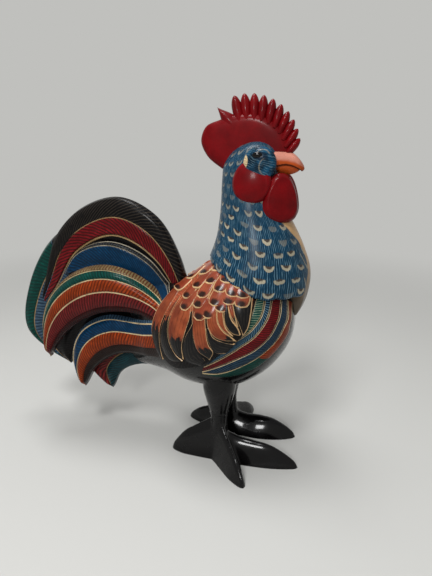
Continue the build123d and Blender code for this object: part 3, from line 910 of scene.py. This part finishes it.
def build_torso(material):
    """Egg-shaped body, with its rings closer together at the breast."""
    picks = np.linspace(0, 1, 110) ** 1.4 * (len(torso_table) - 1)
    table = [np.interp(picks, np.arange(len(torso_table)), column)[:, None] for column in torso_table.T]
    x, middle, half_height, half_width = table
    turn = np.linspace(-pi, pi, 129)[:-1]
    z = middle + half_height * np.cos(turn)
    points = np.stack((x + 0 * turn, -half_width * np.sin(turn), z), axis=-1)
    place("torso_body", Shape().tube(points, close_end=True), material, "torso_paint", "torso")


def unrolled(points, count):
    """Smooth line through (x, degrees) points of the flank, rolled out flat in millimetres."""
    return curve([(x, phi * ARC) for x, phi in points], count)


def underside(grid):
    """Every other column of a grid in reverse, without its edges."""
    return grid[:, ::-2][:, 1:-1]


def blade(shape, left, right, share, lift, crown, sink, values):
    """Carved strip lying on the flank between two rolled-out edges, from its root to its tip.

    values gives the four marks from the share along, the share across and the distance to the rim.
    """
    across = np.sin(np.linspace(-1, 1, 17) * pi / 2)
    flat = (left + right)[:, None] / 2 + (right - left)[:, None] / 2 * across[:, None]
    rim = np.concatenate((left, right))
    off_rim = np.linalg.norm(flat[:, :, None] - rim, axis=-1).min(axis=-1)
    edge_round = BLADE_EDGE_DROP * (1 - ease(off_rim, 0, BLADE_EDGE_WIDTH))
    height = lift[:, None] + crown * (1 - across ** 2) - edge_round
    back = underside(flat)
    top = flank(flat[..., 0], flat[..., 1] / ARC, height)
    bottom = flank(back[..., 0], back[..., 1] / ARC, sink)
    marks = np.stack(values(share[:, None] + 0 * off_rim, across + 0 * off_rim, off_rim), axis=-1)
    marks = np.concatenate((marks, underside(marks)), axis=1)
    shape.tube(np.concatenate((top, bottom), axis=1), marks, close_start=True)


def build_breast_stripes():
    """Fan of hatched stripes on each side of the breast."""
    shape = Shape()
    share = np.linspace(0, 1, 90)
    for i, (first, second) in enumerate(zip(BREAST_LINES, BREAST_LINES[1:])):
        left = unrolled(first, len(share))
        right = unrolled(second, len(share))
        length = running_length((left + right) / 2)[-1]
        last = i == len(BREAST_LINES) - 2

        def values(along_share, across, off_rim):
            band = i + 0.5 + (along_share > BREAST_CHANGE) * last
            return along_share * length / BREAST_BARB + BREAST_SLANT * across, band, off_rim, 0 * across

        blade(shape, left, right, share, BREAST_LIFT + 0 * share, BREAST_CROWN, -BREAST_DEPTH, values)
    paint = banded_paint("breast_stripes", BREAST_COLOURS, CREAM, BREAST_LINE_WIDTH)
    place("breast_stripes_right", shape, paint, "torso_paint", "torso")
    place("breast_stripes_left", shape.mirrored(), paint, "torso_paint", "torso")


# Neck and head

neck_table = smooth_rows(NECK_STATIONS, 320, round_end=True)


def cape_edge(turn):
    """Height of the hackle's lower edge at a turn round the neck (0 is the front)."""
    x = CAPE_CENTRE_X + CAPE_REACH * np.cos(turn)
    slope = (CAPE_BACK[1] - CAPE_KNEE[1]) / (CAPE_KNEE[0] - CAPE_BACK[0])
    level = CAPE_KNEE[1] + slope * np.maximum(CAPE_KNEE[0] - x, 0.0)
    scallops = CAPE_SCALLOP_DEPTH * (1 - np.abs(np.sin(HACKLE_COLUMNS / 2 * turn)) ** 0.7)
    from_front = np.abs((turn + pi) % (2 * pi) - pi)
    lobe = 1 - ease(from_front * CAPE_MEAN_RADIUS, *CHEST_LOBE_EDGE)
    return level + scallops * (1 - lobe) - lobe * (CAPE_KNEE[1] - CHEST_LOBE_LOW_Z)


def build_hackle(material):
    """Chest, neck and head in one carved block with a scalloped hackle edge."""
    rows, columns = 190, 320
    turn = np.linspace(0, 2 * pi, columns + 1)
    edge = cape_edge(turn)
    at = running_length(neck_table)
    start = np.interp(edge, neck_table[:, 0], at)
    where = start + (at[-1] - start) * np.linspace(0, 1, rows)[:, None]
    z, middle, half_length, half_width = (np.interp(where, at, column) for column in neck_table.T)
    low_lip = 1 - ease(z - edge, 0.0, CAPE_LIP)
    swell = CAPE_SWELL * (1 - ease(z - edge, *CAPE_SWELL_END)) - CAPE_LIP * low_lip ** 2
    x = middle + (half_length + swell) * np.cos(turn)
    y = -(half_width + swell) * np.sin(turn)
    column_mark = np.broadcast_to(turn / (2 * pi) * HACKLE_COLUMNS, z.shape)
    row_mark = (z - edge) / (HACKLE_TOP_Z - edge) * HACKLE_ROWS
    strip = np.abs(y) / along(CHEST_STRIP, z) + np.where(np.cos(turn) < 0, FAR_OFF, 0.0)
    marks = np.stack((column_mark, row_mark, strip, z), axis=-1)
    points = np.stack((x, y, z), axis=-1)[:, :-1]
    shape = Shape().tube(points, marks)
    # The underside of the edge runs inward and into the torso
    depths = np.array((0.0, 0.06, 0.2, 1.0))[:, None, None]
    under = points[:1] * (1 - depths) + np.array(CAPE_ROOT) * depths
    shape.tube(under, np.repeat(marks[:1], len(depths), axis=0))
    place("hackle", shape, material, "hackle_paint", "neck", "head")


def pillow(shape, outline, centre, half_thickness, fullness):
    """Cushion-like plate in side view from a closed outline; its rim is rounded."""
    rings = np.sin(np.linspace(0, 1, 15) * pi / 2)[::-1, None]
    flat = np.array(centre) + (outline - centre) * rings[..., None]
    bulge = half_thickness * (1 - rings ** fullness) ** (1 / 2)
    for side in (1.0, -1.0):
        y = np.broadcast_to(side * bulge, flat.shape[:2])
        shape.tube(np.stack((flat[..., 0], y, flat[..., 1]), axis=-1))


def build_comb(material):
    """Comb plate with a fan of leaf-shaped teeth and a thorn behind them."""
    shape = Shape()
    pillow(shape, loop(COMB_OUTLINE, 160), COMB_MIDDLE, COMB_THICKNESS / 2, COMB_FULLNESS)
    for place_and_lean in np.linspace(FIRST_TOOTH, LAST_TOOTH, TOOTH_COUNT):
        tooth(shape, *place_and_lean, LEAF)
    tooth(shape, *THORN, SPIKE)
    place("comb_carved", shape, material, "red_lacquer", "comb")


def tooth(shape, place_angle, tip_distance, direction, full_width, length, widths):
    """One leaf-shaped tooth: ridged in the middle, thin at its edges and tip."""
    share = np.sin(np.linspace(0, 1, 30) * pi / 2)
    around = np.linspace(0, 2 * pi, 25)[:-1]
    lens = np.sign(np.sin(around)) * np.abs(np.sin(around)) ** 1.25
    across = full_width / 2 * along(widths, share)[:, None] * np.cos(around)
    y = TOOTH_THICKNESS / 2 * along(TOOTH_TAPER, share)[:, None] * lens
    back = length * (share - 1)[:, None] + 0 * across
    at = radians(place_angle)
    turn = radians(direction)
    x = COMB_CENTRE[0] + tip_distance * cos(at) + back * cos(turn) - across * sin(turn)
    z = COMB_CENTRE[1] + tip_distance * sin(at) + back * sin(turn) + across * cos(turn)
    shape.tube(np.stack((x, y, z), axis=-1), close_start=True)


def boxed(wave):
    """A sine or cosine pulled toward a square, for sides that are flat with round corners."""
    return np.sign(wave) * np.abs(wave) ** BEAK_POWER


def build_beak(material):
    """Upper beak with a hooked tip over a smaller lower beak."""
    table = smooth_rows(BEAK_STATIONS, 60, round_end=True)
    x, middle, half_height, half_width = table.T[:, :, None]
    mouth = along(MOUTH_LINE, x)
    level = np.clip((mouth - middle) / np.maximum(half_height, 0.01), -0.96, 0.96)
    lip = np.arcsin(np.sign(level) * np.abs(level) ** (1 / BEAK_POWER))
    turn = lip + (pi - 2 * lip) * np.linspace(0, 1, 49)
    y = half_width * boxed(np.cos(turn))
    z = middle + half_height * boxed(np.sin(turn))
    beak_piece("upper", x, y, z, middle, half_height, mouth, material)

    stop = int(LOWER_BEAK_END * len(table))
    x, middle, half_height, half_width, mouth = (
        column[:stop] for column in (x, middle, half_height, half_width, mouth)
    )
    shrink = LOWER_BEAK_SHARE * np.sqrt(1 - np.linspace(0, 1, stop) ** 6)[:, None]
    turn = np.linspace(0, 2 * pi, 65)[:-1]
    y = half_width * shrink * boxed(np.cos(turn))
    z = middle + LOWER_BEAK_DEPTH * half_height * shrink * boxed(np.sin(turn))
    z = np.minimum(z, mouth + LOWER_BEAK_OVERLAP)
    beak_piece("lower", x, y, z, middle, half_height, mouth, material)


def beak_piece(part, x, y, z, middle, half_height, mouth, material):
    """Puts one half of the beak into the scene."""
    points = np.stack((np.broadcast_to(x, y.shape), y, z), axis=-1)
    long_share = (x - x[0]) / (BEAK_STATIONS[-1][0] - x[0]) + 0 * y
    high_share = (z - middle) / np.maximum(half_height, 0.01)
    marks = np.stack((long_share, high_share, np.abs(z - mouth), 0 * z), axis=-1)
    name = "beak_" + part
    place(name + "_horn", Shape().tube(points, marks), material, "beak_paint", name)


def pad(centre, radii, turn=0.0, taper=0.0, flatten=2.0, tilt=0.0, square=2.0, rim=0.0):
    """Rounded pad on the right side: an oval that narrows upward by the taper and tilts inward.

    flatten makes its face flatter and square its outline fuller than a true oval, for which both are 2;
    rim is the height of a soft raised border.
    """
    up = np.linspace(-pi / 2, pi / 2, 49)[:, None]
    around = np.linspace(0, 2 * pi, 73)
    nz = np.sin(up) + 0 * around
    ring = np.clip(1 - np.abs(np.sin(up)) ** square, 0, None) ** (1 / square)
    nx = ring * np.cos(around)
    ny = ring * np.sin(around)
    narrow = 1 - taper * nz
    border = np.exp(-((np.hypot(nx, nz) - PAD_RIM_PLACE) / PAD_RIM_WIDTH) ** 2)
    x = radii[0] * nx * narrow
    y = (radii[1] * np.abs(ny) ** (2 / flatten) * narrow + rim * border) * np.sign(ny) - tilt * nz
    lean = radians(turn)
    turned_x = x * cos(lean) + y * sin(lean)
    turned_y = y * cos(lean) - x * sin(lean)
    points = np.stack((turned_x, turned_y, radii[2] * nz), axis=-1) + centre
    points = points * (1.0, -1.0, 1.0)
    marks = np.stack((nx, nz, ny, 0 * nz), axis=-1)
    return Shape().tube(points[:, :-1], marks)


# Wing

def build_wing_base(material):
    """Wing shell under the feathers, rising from the flank."""
    outline = loop([(x, phi * ARC) for x, phi in WING_OUTLINE], 200)
    centre = np.array((WING_CENTRE[0], WING_CENTRE[1] * ARC))
    top_rings = np.linspace(0, 1, 40)
    lifts = WING_BASE_LIFT - (WING_BASE_LIFT + WING_RIM_DEPTH) * ease(top_rings, WING_RIM_START, 1.0) ** 2
    inner_rings = (0.98, 0.5, 0.0)
    rings = np.concatenate((top_rings, inner_rings))[:, None, None]
    lifts = np.concatenate((lifts, [-WING_INNER_DEPTH] * len(inner_rings)))[:, None]
    flat = centre + (outline - centre) * rings
    phi = np.maximum(flat[..., 1] / ARC, 0.15)
    turn = np.arctan2(outline[:, 1] - centre[1], outline[:, 0] - centre[0])
    streaks = np.broadcast_to(turn * WING_STREAKS, phi.shape)
    band = np.where(phi < WING_SHELL_CHANGE, 1.5, 0.5)
    marks = np.stack((streaks, band, FAR_OFF + 0 * phi, 0 * phi), axis=-1)
    shape = Shape().tube(flank(flat[..., 0], phi, lifts), marks)
    place_pair("wing_base", shape, material, "wing_paint", "wing")


def scallop(shape, spot, row):
    """One small rounded feather with its spot at the given place."""
    lean = radians(np.interp(spot[0], *SCALLOP_LEANS))
    ahead = np.array((sin(lean), cos(lean)))
    aside = np.array((ahead[1], -ahead[0]))
    share = np.sin(np.linspace(0, 1, 30) * pi / 2)
    middle = np.array((spot[0], spot[1] * ARC)) + ahead * (share[:, None] - SCALLOP_SPOT) * SCALLOP_LENGTH
    half = aside * SCALLOP_HALF_WIDTH * along(SCALLOP_WIDTHS, share)[:, None]
    lift = WING_BASE_LIFT + SCALLOP_ROW_RISE * row + SCALLOP_TIP_RISE * share

    def values(along_share, across, off_rim):
        return along_share, across, off_rim, 0 * across

    blade(shape, middle - half, middle + half, share, lift, SCALLOP_CROWN, WING_ROOT_LIFT, values)


def build_wing_feathers(scallop_material, feather_material):
    """Rows of small rounded feathers over a fan of long ones."""
    scallops = Shape()
    for row, spots in enumerate(SCALLOP_ROWS):
        for spot in spots:
            scallop(scallops, spot, row)
    place_pair("wing_scallops", scallops, scallop_material, "wing_paint", "wing")
    feathers = Shape()
    share = np.linspace(0, 1, 60)
    for i, (rear, front, black_start) in enumerate(LONG_FEATHERS):
        lift = LONG_FEATHER_LIFT + LONG_FEATHER_RISE * i + 0 * share
        left = unrolled(rear, len(share))
        right = unrolled(front, len(share))

        def values(along_share, across, off_rim):
            return along_share, across, off_rim, black_start + 0 * across

        blade(feathers, left, right, share, lift, LONG_FEATHER_CROWN, WING_ROOT_LIFT, values)
    place_pair("wing_feathers", feathers, feather_material, "wing_paint", "wing")


# Tail

def plume(outer, inner, section, bands, thickness, seat=None, lined=9, shade_share=0.0):
    """Tail plume in side view with a carved cross-section and a rib for each painted band.

    section gives (share across from the outer edge, share of the thickness). The first lined borders
    between bands are painted. A plume with a seat (distance from the middle, splay) is flat inside and
    bends out over the flank at its root; the others are the same on both sides. The last band also
    covers the shade share from the root, where it is painted shade.
    """
    rows, columns = 130, 80
    out_line = curve(outer, rows)
    in_line = curve(inner[::-1], rows)
    share = np.linspace(0, 1, rows)[:, None]
    across = (1 - np.cos(np.linspace(0, 1, columns) * pi)) / 2
    flat = out_line[:, None] + (in_line - out_line)[:, None] * across[None, :, None]
    width = np.linalg.norm(in_line - out_line, axis=1)[:, None]
    bounds = np.array([0.0] + [row[0] for row in bands])
    band = np.clip(np.interp(across, bounds, np.arange(len(bounds))), 0, len(bands) - 0.01)
    off_line = np.abs(across[:, None] - bounds[1:-1]).min(axis=1) * width
    rise = along(section, across)
    rib = RIB_HEIGHT * 4 * (band % 1) * (1 - band % 1) * np.minimum(1.0, 5 * rise)
    groove = LINE_GROOVE * (1 - ease(off_line, 0.0, LINE_GROOVE_REACH)) * np.minimum(1.0, 8 * rise)
    depth = (thickness / 2 if seat is None else thickness) * rise
    tip = 1 - PLUME_TIP_THINNING * ease(share, PLUME_TIP, 1.0) ** 2
    near = np.stack((flat[..., 0], (groove - depth - rib) * tip, flat[..., 1]), axis=-1)
    far = near * (1.0, -1.0 if seat is None else 0.0, 1.0)
    if seat is not None:
        near = seated(near, *seat)
        far = seated(far, *seat)
        bend = bend_over_flank(near, rise)
        near[..., 1] -= bend
        far[..., 1] -= bend

    steps = np.linalg.norm(np.diff(near, axis=1), axis=2)
    over = np.concatenate((np.zeros((rows, 1)), np.cumsum(steps, axis=1)), axis=1)
    painted_lines = [np.argmin(np.abs(across - line)) for line in bounds[1:-1][:lined]]
    shown_line = np.abs(over[:, :, None] - over[:, None, painted_lines]).min(axis=2)
    number = band.astype(int)
    run = running_length((out_line + in_line) / 2)[:, None]
    lean = np.array([row[1] for row in bands])[number]
    barb = (run + lean * (across - bounds[number]) * width) / (BARB_PITCH * np.hypot(1.0, lean))
    # Over the shade share from the root the last band's colour is painted as shade
    painted = np.where(share < shade_share, len(bands) - 0.5, band)
    shown_line = np.where(share < shade_share, FAR_OFF, shown_line)
    marks = np.stack((barb, painted, shown_line, 0 * barb), axis=-1)
    points = np.concatenate((near, far[:, ::-1][:, 1:-1]), axis=1)
    marks = np.concatenate((marks, marks[:, ::-1][:, 1:-1]), axis=1)
    return Shape().tube(points, marks, close_start=True)


def seated(points, inside_y, splay):
    """Right-hand points set on their plane and splayed outward."""
    turn = radians(splay)
    x = points[..., 0] - PLUME_SPLAY_X
    y = points[..., 1]
    splayed_x = PLUME_SPLAY_X + x * cos(turn) - y * sin(turn)
    return np.stack((splayed_x, x * sin(turn) + y * cos(turn) - inside_y, points[..., 2]), axis=-1)


def bend_over_flank(near, rise):
    """How far a plume is pushed out to lie on the flank, and under the wing at its root."""
    sunk = ease(near[..., 0], *WING_REACH)
    clear = PLUME_CLEARANCE + PLUME_STAND_OFF * rise * (1 - sunk) - PLUME_ROOT_DEPTH * sunk
    apart = half_width_at(near[..., 0], near[..., 2]) + clear + near[..., 1]
    return (apart + np.hypot(apart, FLANK_BLEND)) / 2


def build_tail():
    """Sickle, centre plumes, side feathers and the banded plumes of both sides."""
    shape = plume(SICKLE_OUTER, SICKLE_INNER, ROUND_SECTION, SICKLE_BANDS, SICKLE_THICKNESS)
    paint = banded_paint("sickle_bands", SICKLE_BANDS, TAN)
    place("tail_sickle_plume", shape, paint, "sickle_paint", "tail_sickle")

    shape = plume(CENTRE_UPPER_OUTER, CENTRE_UPPER_INNER, PLATE_SECTION, CENTRE_UPPER_BANDS,
                  CENTRE_PLATE_THICKNESS, shade_share=CENTRE_PAINTED_SHADE_SHARE)
    paint = banded_paint("centre_bands", CENTRE_UPPER_BANDS, TAN)
    place("tail_center_upper_plume", shape, paint, "center_plume_paint", "tail_center_upper")
    shape = plume(CENTRE_LOWER_OUTER, CENTRE_LOWER_INNER, PLATE_SECTION, CENTRE_LOWER_BANDS,
                  CENTRE_PLATE_THICKNESS)
    paint = banded_paint("centre_low_bands", CENTRE_LOWER_BANDS, TAN)
    place("tail_center_lower_plume", shape, paint, "center_plume_paint", "tail_center_lower")

    inside = CENTRE_PLATE_THICKNESS / 2 + GLUE_GAP
    outside = inside + FEATHER_THICKNESS + GLUE_GAP
    shape = plume(FEATHER_OUTER, FEATHER_INNER, PLATE_SECTION, FEATHER_BANDS, FEATHER_THICKNESS,
                  (inside, 0.0), lined=2)
    paint = banded_paint("side_feather_bands", FEATHER_BANDS, RIM_LINE)
    place_pair("tail_feather_blade", shape, paint, "feather_paint", "tail_feather")
    shape = plume(UPPER_OUTER, UPPER_INNER, RIDGE_SECTION, UPPER_BANDS, PLUME_THICKNESS,
                  (outside, PLUME_SPLAY), lined=3)
    paint = banded_paint("upper_plume_bands", UPPER_BANDS, CREAM)
    place_pair("tail_upper_plume", shape, paint, "plume_paint", "tail_upper")
    shape = plume(LOWER_OUTER, LOWER_INNER, RIDGE_SECTION, LOWER_BANDS, PLUME_THICKNESS,
                  (inside, PLUME_SPLAY), lined=2)
    paint = banded_paint("lower_plume_bands", LOWER_BANDS, CREAM)
    place_pair("tail_lower_plume", shape, paint, "plume_paint", "tail_lower")


# Legs and feet

def round_column(y, stations, levels, columns):
    """Rings of an upright column at a leg's place, from (height, radius) stations."""
    radius = along(stations, levels)[:, None]
    around = np.linspace(0, 2 * pi, columns + 1)[:-1]
    x = LEG_X + radius * np.cos(around)
    return np.stack((x, y + radius * np.sin(around), levels[:, None] + 0 * x), axis=-1)


def build_leg(material):
    """Smooth leg that widens into the belly, and runs a little way into the ankle."""
    levels = np.linspace(LEG_STATIONS[0][0] - LEG_OVERLAP, LEG_STATIONS[-1][0], 60)
    shape = Shape().tube(round_column(-LEG_Y, LEG_STATIONS, levels, 64), close_start=True, close_end=True)
    place_pair("leg_column", shape, material, "black_lacquer", "leg")


def toe(shape, tip, stations, scale):
    """Ridged, tapering toe with a flat sole; scale is for its height."""
    table = np.array(stations) * (1.0, 1.0, scale)
    share = np.linspace(0, 1, 60)
    width = along(table[:, :2], share)[:, None]
    ridge = along(table[:, (0, 2)], share)[:, None]
    end = np.sqrt(np.clip(1 - ease(share, TOE_TIP, 1.0) ** 2, 0.0, 1.0))[:, None]
    across = np.linspace(-1, 1, 41)
    height = ridge * end * (1 - np.abs(across) ** CREST_POWER)
    ahead = np.array((tip[0] - LEG_X, tip[1] - LEG_Y))
    aside = np.array((-ahead[1], ahead[0])) / np.linalg.norm(ahead)
    ground = np.array((LEG_X, LEG_Y)) + ahead * share[:, None]
    flat = ground[:, None] + aside * (width * end / 2 * across)[..., None]
    top = np.concatenate((flat, height[..., None]), axis=-1)
    sole = top[:, ::-4] * (1.0, 1.0, 0.0) - (0.0, 0.0, SOLE_DEPTH)
    shape.tube(np.concatenate((top, sole), axis=1), close_start=True, close_end=True)


def softened(shape):
    """Mesh of a shape whose parts are joined and smoothed like a carving."""
    draft = bpy.data.objects.new("draft", shape.mesh("draft"))
    bpy.context.collection.objects.link(draft)
    remesh = draft.modifiers.new("join", "REMESH")
    remesh.mode = "VOXEL"
    remesh.voxel_size = FOOT_GRAIN * MM
    smooth = draft.modifiers.new("soften", "SMOOTH")
    smooth.factor = 0.5
    smooth.iterations = 10
    bpy.context.view_layer.update()
    mesh = bpy.data.meshes.new_from_object(draft.evaluated_get(bpy.context.evaluated_depsgraph_get()))
    bpy.data.objects.remove(draft)
    clean(mesh)
    return mesh


def cut_sole(mesh):
    """Cuts a foot off level with the ground and closes its sole."""
    work = bmesh.new()
    work.from_mesh(mesh)
    whole = work.verts[:] + work.edges[:] + work.faces[:]
    cut = bmesh.ops.bisect_plane(work, geom=whole, plane_co=(0, 0, 0), plane_no=(0, 0, 1), clear_inner=True)
    rim = [item for item in cut["geom_cut"] if isinstance(item, bmesh.types.BMEdge)]
    for edge in rim:
        edge.smooth = False
    bmesh.ops.edgeloop_fill(work, edges=rim)
    work.to_mesh(mesh)
    work.free()


def build_foot(side, toes, scale, material):
    """Foot of three toes flowing into the ankle."""
    shape = Shape()
    for tip, stations in toes:
        toe(shape, tip, stations, scale)
    levels = np.linspace(-SOLE_DEPTH, ANKLE[-1][0], 30)
    shape.tube(round_column(LEG_Y, ANKLE, levels, 48), close_start=True, close_end=True)
    if side == "right":
        shape = shape.mirrored()
    mesh = softened(shape)
    cut_sole(mesh)
    mesh.name = "foot_" + side + "_carved"
    place_mesh("foot_" + side + "_carved", mesh, material, "black_lacquer", "foot_" + side)


# Stage

def floor_paper():
    """Pale paper; away from the bird the camera and reflections see one even tone."""
    paint = Paint("floor_paper", FLOOR_ROUGHNESS, 0.0, 0.3)
    paint.shader.inputs["Base Color"].default_value = FLOOR_TONE
    paint.shader.inputs["Roughness"].default_value = FLOOR_ROUGHNESS
    camera = paint.node("ShaderNodeLightPath", {}, "Is Camera Ray")
    glossy = paint.node("ShaderNodeLightPath", {}, "Is Glossy Ray")
    through = paint.node("ShaderNodeLightPath", {}, "Is Transmission Ray")
    seen = (camera + glossy + through).math("MINIMUM", 1.0)
    distance = paint.node("ShaderNodeVectorMath", {0: paint.place}, "Value", operation="LENGTH")
    paper = Signal(paint, paint.shader.outputs[0])
    glow = paint.node("ShaderNodeEmission", {"Color": BACKDROP_TONE})
    shown = paint.node("ShaderNodeMixShader", {0: seen * distance.step(*EVEN_TONE), 1: paper, 2: glow})
    paint.feed(paint.nodes["Material Output"].inputs["Surface"], shown)
    return paint.material


def build_floor():
    """Round floor whose rim sweeps up on all sides."""
    profile = curve(FLOOR_PROFILE, 60)
    around = np.linspace(0, 2 * pi, 97)[:-1]
    radius = profile[:, :1]
    height = np.maximum(profile[:, 1:], 0.0) + 0 * around
    points = np.stack((radius * np.cos(around), radius * np.sin(around), height), axis=-1)
    mesh = Shape().tube((points - SHIFT) / MM).mesh("floor")
    mesh.materials.append(floor_paper())
    floor = bpy.data.objects.new("floor", mesh)
    bpy.context.collection.objects.link(floor)


def hold(name, data, place_mm, ahead):
    """Puts a lamp or camera at a place, looking ahead."""
    holder = bpy.data.objects.new(name, data)
    bpy.context.collection.objects.link(holder)
    holder.location = Vector(np.array(place_mm) * MM + SHIFT)
    holder.rotation_euler = Vector(ahead).to_track_quat("-Z", "Y").to_euler()
    return holder


def build_stage():
    """Floor, lights, world and camera."""
    build_floor()
    for name, place_mm, aim_mm, size, power in LAMPS:
        lamp = bpy.data.lights.new(name, "AREA")
        lamp.size = size
        lamp.energy = power
        hold(name, lamp, place_mm, np.subtract(aim_mm, place_mm))
    world = bpy.data.worlds.new("studio")
    world.use_nodes = True
    background = world.node_tree.nodes["Background"]
    background.inputs["Color"].default_value = (1.0, 1.0, 1.0, 1.0)
    background.inputs["Strength"].default_value = WORLD_STRENGTH
    bpy.context.scene.world = world
    bpy.context.scene.view_settings.view_transform = "Standard"

    camera = bpy.data.cameras.new("camera")
    camera.lens = CAMERA_LENS
    camera.sensor_width = CAMERA_SENSOR
    camera.clip_start = 0.01
    turn = radians(CAMERA_TURN)
    tilt = radians(CAMERA_TILT)
    ahead = (-sin(turn) * cos(tilt), cos(turn) * cos(tilt), -sin(tilt))
    bpy.context.scene.camera = hold("camera", camera, CAMERA_PLACE, ahead)


# Whole bird

red = plain_lacquer("crimson_lacquer", CRIMSON, DEEP_CRIMSON, 0.36, 0.6, 0.16, 1.2)
black = plain_lacquer("black_lacquer", BLACK, DEEP_BLACK, 0.25, 1.0, 0.1, 1.3)

build_torso(black)
build_breast_stripes()
build_hackle(hackle_paint())
build_comb(red)
build_beak(beak_paint())
cheek = pad(FACE_DISC_CENTRE, FACE_DISC_RADII, flatten=2.7)
ear_lobe = pad(EAR_LOBE_CENTRE, EAR_LOBE_RADII, taper=0.06, tilt=1.2, rim=PAD_RIM)
wattle = pad(WATTLE_CENTRE, WATTLE_RADII, WATTLE_TURN, taper=0.3, flatten=2.5, square=2.7, rim=PAD_RIM)
place_pair("cheek", cheek, face_paint(), "hackle_paint", "face_disc")
place_pair("eye_bead", pad(EYE_CENTRE, EYE_RADII), black, "eye_paint", "eye")
place_pair("ear_lobe_pad", ear_lobe, red, "red_lacquer", "ear_lobe")
place_pair("wattle_pad", wattle, red, "red_lacquer", "wattle")
build_wing_base(banded_paint("wing_shell", WING_SHELL_COLOURS, TAN))
build_wing_feathers(scallop_paint(), long_feather_paint())
build_tail()
build_leg(black)
build_foot("left", LEFT_TOES, LEFT_TOE_SCALE, black)
build_foot("right", RIGHT_TOES, 1.0, black)

wood = bare_wood()
for node in ("neck_dowel", "head_dowel", "beak_dowel", "tail_dowels"):
    for material_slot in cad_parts[node].material_slots:
        material_slot.material = wood

build_stage()
